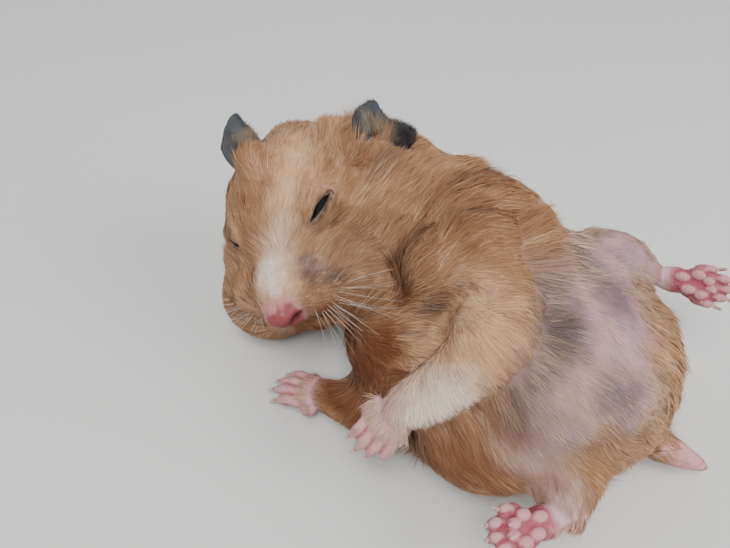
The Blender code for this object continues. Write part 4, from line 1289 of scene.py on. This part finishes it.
# %% Group: mottle
MOTTLE_FROM, MOTTLE_TO = 0.38, 0.62  # the pattern's values that give all the first and all the second colour
sockets = {"Colour": (0.7, 0.4, 0.4), "Second": (0.5, 0.3, 0.3), "Amount": 0.5, "Pattern": 0.5}
MOTTLE, given, result = group("mottle", sockets)
spread = MOTTLE.nodes.new("ShaderNodeMapRange")
spread.inputs["From Min"].default_value = MOTTLE_FROM
spread.inputs["From Max"].default_value = MOTTLE_TO
MOTTLE.links.new(given["Pattern"], spread.inputs["Value"])
amount = times(MOTTLE, spread.outputs[0], given["Amount"])
MOTTLE.links.new(blend(MOTTLE, amount, given["Colour"], given["Second"]), result)
print("groups:", [g.name for g in bpy.data.node_groups])

# %% Material helpers


def material(name, roughness, **constants):
    """A new material, its node tree and its shader; an underscore in a constant's name stands for a space."""
    made = bpy.data.materials.new(name)
    made.use_nodes = True
    shader = made.node_tree.nodes["Principled BSDF"]
    for label, value in {"Roughness": roughness, **constants}.items():
        shader.inputs[label.replace("_", " ")].default_value = value
    return made, made.node_tree, shader


def place(tree, made, **values):
    """A node that stands for a group, with its inputs fed."""
    node = tree.nodes.new("ShaderNodeGroup")
    node.node_tree = made
    for label, value in values.items():
        feed(tree, node.inputs[label.replace("_", " ")], value)
    return node.outputs[0]


def mottled(tree, first, second, amount, scale):
    """Two colours mixed by a pattern of so many blotches to the metre."""
    return place(tree, MOTTLE, Colour=first, Second=second, Amount=amount, Pattern=noise(tree, scale))


def plain(name, roughness, colours, amount, scale, **constants):
    """A whole finish of two mottled colours."""
    made, tree, shader = material(name, roughness, **constants)
    tree.links.new(mottled(tree, *colours, amount, scale), shader.inputs["Base Color"])
    return made, tree, shader


def triples(tree, *names):
    """The numbers that a mesh keeps under some names, three for each name."""
    found = []
    for name in names:
        node = tree.nodes.new("ShaderNodeAttribute")
        node.attribute_name = name
        parts = tree.nodes.new("ShaderNodeSeparateXYZ")
        tree.links.new(node.outputs["Vector"], parts.inputs[0])
        found += parts.outputs[:3]
    return found


def bump(tree, shader, height, strength, distance):
    """Lets a height stir the light on a surface; the distance is in metres."""
    node = tree.nodes.new("ShaderNodeBump")
    node.inputs["Strength"].default_value = strength
    node.inputs["Distance"].default_value = distance
    tree.links.new(height, node.inputs["Height"])
    tree.links.new(node.outputs[0], shader.inputs["Normal"])


# %% [markdown]
# The coat's finish reads the markings of each root, darkens the blade to the slate of the undercoat at its
# root, and makes some locks straw pale and others brown, as the banded hairs of a golden hamster are.

# %% Coat finishes
BELLY_HAIR, EAR_HAIR, FAIR_HAIR = (0.50, 0.355, 0.325), (0.022, 0.022, 0.024), (0.58, 0.36, 0.32)
ASH_AND_SHADE_STRENGTH, FAIR_STRENGTH, EAR_DEEP, EVEN_FROM = 0.92, 0.8, 1.3, 1.4


def coat_finish(name, ground, contrast, root_shade, rough):
    made, tree, shader = material(name, rough, Specular_IOR_Level=0.15, Sheen_Weight=0.05, Sheen_Roughness=0.5)
    cream, white, rust_and_shade, bare, ash_and_shade, ear, along, tone, fair = triples(tree, "marks_warm", "marks_cool", "blade")
    marked = place(tree, MARKINGS, Ground=blend(tree, bare, ground, BELLY_HAIR), Cream_amount=cream,
                   White_amount=white, Rust_amount=rust_and_shade, Ash_amount=times(tree, ash_and_shade, ASH_AND_SHADE_STRENGTH))
    marked = layered(tree, marked, ((ear, 1, EAR_HAIR), (fair, FAIR_STRENGTH, FAIR_HAIR)))
    deep_marks = reckon(tree, "MAXIMUM", rust_and_shade, times(tree, ear, EAR_DEEP))  # these keep an even tone
    even = times(tree, reckon(tree, "SUBTRACT", EVEN_FROM, deep_marks), contrast / EVEN_FROM)
    toned = place(tree, LOCK_TONE, Colour=marked, Along=along, Tone=tone, Root_shade=root_shade, Contrast=even)
    tree.links.new(toned, shader.inputs["Base Color"])
    return made


COAT_FINISH = coat_finish("golden_coat", GOLD, 0.70, 0.45, 0.65)
OTHER_COATS = {
    "coat_belly": coat_finish("belly_coat", GOLD, 0.50, 0.32, 0.62),
    "coat_ears": coat_finish("ear_coat", (0.115, 0.098, 0.074), 0.5, 0.4, 0.65),
}
for name, piece in COAT.items():
    piece.data.materials.append(OTHER_COATS.get(name, COAT_FINISH))

# %% Whisker finish
PALE_HORN = ((0.80, 0.72, 0.62), (0.62, 0.55, 0.48))
WHISKER_FINISH, _, _ = plain("whisker_hair", 0.35, PALE_HORN, 0.5, 500, Specular_IOR_Level=0.5)
for piece in WHISKER_SETS:
    piece.data.materials.append(WHISKER_FINISH)

# %% [markdown]
# Under the coat the skin is dark with the roots of the hair, and only the belly, paws, nose, lids, tail and ears
# show it. There it is thin and blood shines through, so that it is pink to mauve, wrinkled on the paws and
# finely pitted everywhere. Very short hair that lies flat shows only as a fine grain, which the bump gives.

# %% Skin finish
SKIN_FINISH, tree, shader = material(
    "hamster_skin", 0.55, Specular_IOR_Level=0.3, Subsurface_Weight=0.12, Subsurface_Scale=0.001,
    Subsurface_Radius=(1.0, 0.45, 0.3),
)
(cream, white, rust_and_shade, bare, ash_and_shade, ear, naked, nostril_and_mouth_shade, nose, sole, lid_mark, slit_shade_mark, pad, crease,
 blush_mark, tan, black_and_shadow, hollow_shade_mark, heel, stubble_mark, patch_mark) = triples(tree, *SKIN_LAYERS)
# painted shade: the ash paint darkens the skin in the arm's fold and under the ear's lobe as well
# painted shade: the rust paint darkens the skin under the chin and by the cheeks as well
under_fur = place(tree, MARKINGS, Ground=(0.34, 0.18, 0.10), Cream=(0.46, 0.33, 0.24), White=(0.60, 0.50, 0.45),
                  Rust=(0.18, 0.055, 0.02), Ash=(0.15, 0.12, 0.13), Cream_amount=cream, White_amount=white,
                  Rust_amount=rust_and_shade, Ash_amount=ash_and_shade)
mauve = mottled(tree, (0.46, 0.26, 0.28), (0.31, 0.19, 0.24), 0.9, 160)
mauve = layered(tree, mauve, [(ash_and_shade, 0.9, (0.045, 0.035, 0.045))])
pink = layered(tree, mottled(tree, (0.60, 0.31, 0.335), (0.50, 0.235, 0.27), 0.8, 420), (
    (heel, 1, (0.50, 0.34, 0.37)),
    (sole, 1, (0.36, 0.115, 0.14)),
    (pad, 1, (0.50, 0.25, 0.27)),
    (crease, 1, (0.32, 0.055, 0.09)),
    (nose, 1, (0.225, 0.050, 0.052)),
))
dark_ear = layered(tree, mottled(tree, (0.030, 0.038, 0.048), (0.058, 0.062, 0.068), 0.8, 250), (
    (tan, 1, (0.10, 0.082, 0.062)),
    # painted shade: the band inside the ear's front edge
    (hollow_shade_mark, 0.7, (0.035, 0.028, 0.032)),
    # painted shadow: the lobe's dark skin with the shadow inside its curl
    (black_and_shadow, 1, (0.008, 0.006, 0.007)),
))
colour = layered(tree, under_fur, (
    (bare, 1, mauve),
    (stubble_mark, 0.6, (0.20, 0.085, 0.065)),
    (patch_mark, 0.8, (0.17, 0.115, 0.135)),
    (blush_mark, 0.8, (0.50, 0.20, 0.18)),
    (naked, 1, pink),
    (ear, 1, dark_ear),
    (lid_mark, 0.6, (0.12, 0.085, 0.08)),
    # painted shade: nostrils, the groove under the nose and the mouth line
    (nostril_and_mouth_shade, 1, (0.06, 0.008, 0.008)),
    # painted shade: the skin in the slit is dark lid margin with the shade of the gap painted in
    (slit_shade_mark, 1, (0.006, 0.006, 0.006)),
))
tree.links.new(colour, shader.inputs["Base Color"])
PORES, GRAIN, GRAIN_SHARE = 2200, 700, 1.5  # both patterns by the metre, and how much the coarser one counts
grain = reckon(tree, "ADD", noise(tree, PORES, 2), times(tree, noise(tree, GRAIN, 3), GRAIN_SHARE))
bump(tree, shader, grain, 0.35, 0.00012)
skin_mesh.materials.clear()
skin_mesh.materials.append(SKIN_FINISH)

# %% Eyes and claws
EYE_COLOURS, CLAW_COLOURS = ((0.003, 0.003, 0.003), (0.010, 0.008, 0.008)), ((0.56, 0.40, 0.34), (0.44, 0.28, 0.24))
EYE_FINISH, _, _ = plain("shut_eye", 0.6, EYE_COLOURS, 0.7, 300, Specular_IOR_Level=0.08)
CLAW_FINISH, tree, shader = plain(
    "claw_horn", 0.32, CLAW_COLOURS, 0.9, 900, Specular_IOR_Level=0.5, Coat_Weight=0.2
)
bump(tree, shader, noise(tree, 3000, 2), 0.2, 0.00005)
for name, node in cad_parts.items():
    if name.startswith(SEPARATE):
        node.data.materials.clear()
        node.data.materials.append(EYE_FINISH if name.startswith("eye_") else CLAW_FINISH)

# %% [markdown]
# ## Floor, light and camera
# The animal lies on a plain pale floor in soft daylight from above and before it, with weaker lamps beside and
# behind it. The camera looks down at 45 degrees from close by, as one would bend over a sleeping pet.

# %% Floor
FLOOR_REACH = 1.5  # metres from the middle to an edge
floor_mesh = bpy.data.meshes.new("floor")
floor_corners = [(x * FLOOR_REACH, y * FLOOR_REACH, 0) for x, y in ((-1, -1), (1, -1), (1, 1), (-1, 1))]
floor_mesh.from_pydata(floor_corners, [], [(0, 1, 2, 3)])
floor = in_scene("floor", floor_mesh)
FLOOR_COLOURS = ((0.62, 0.62, 0.61), (0.60, 0.60, 0.59))
FLOOR_FINISH, _, _ = plain("pale_floor", 0.9, FLOOR_COLOURS, 0.5, 6, Specular_IOR_Level=0.1)
floor_mesh.materials.append(FLOOR_FINISH)

# %% Light
SKY, SKY_STRENGTH = (0.92, 0.95, 1.0, 1), 0.48
LAMPS = {  # place in metres, side of the square in metres, watts, colour
    "window": ((-0.10, -0.36, 0.70), 0.45, 6.6, (1.0, 0.98, 0.95)),
    "side": ((0.55, -0.20, 0.40), 0.40, 3.0, (1.0, 0.98, 0.95)),
    "fill": ((-0.25, 0.6, 0.6), 0.6, 1.6, (0.95, 0.97, 1.0)),
}
LIT_PLACE = Vector((0, 0, 0.02))
world = bpy.data.worlds.new("soft room")
world.use_nodes = True
for socket, value in zip(world.node_tree.nodes["Background"].inputs, (SKY, SKY_STRENGTH)):
    socket.default_value = value
bpy.context.scene.world = world
for name, (at, size, power, colour) in LAMPS.items():
    light = bpy.data.lights.new(name, "AREA")
    light.size, light.energy, light.color = size, power, colour
    lamp = in_scene(name, light)
    lamp.location = at
    lamp.rotation_euler = (LIT_PLACE - Vector(at)).to_track_quat("-Z", "Y").to_euler()

# %% Camera
EYE_HEIGHT, LOOKING_DOWN = 108, math.radians(45)  # mm over the bench's origin, and the tilt from straight down
SENSOR_WIDTH, LENS = 36, 29.98356  # mm; a view about 62 degrees wide
sight = bpy.data.cameras.new("camera")
sight.sensor_width, sight.lens, sight.clip_start = SENSOR_WIDTH, LENS, 0.005
camera = in_scene("camera", sight)
camera.location = Vector(to_row((0, 0, EYE_HEIGHT)))
camera.rotation_euler = (LOOKING_DOWN, 0, 0)
bpy.context.scene.camera = camera
bpy.context.view_layer.update()
print("camera at", [round(x, 4) for x in camera.location])
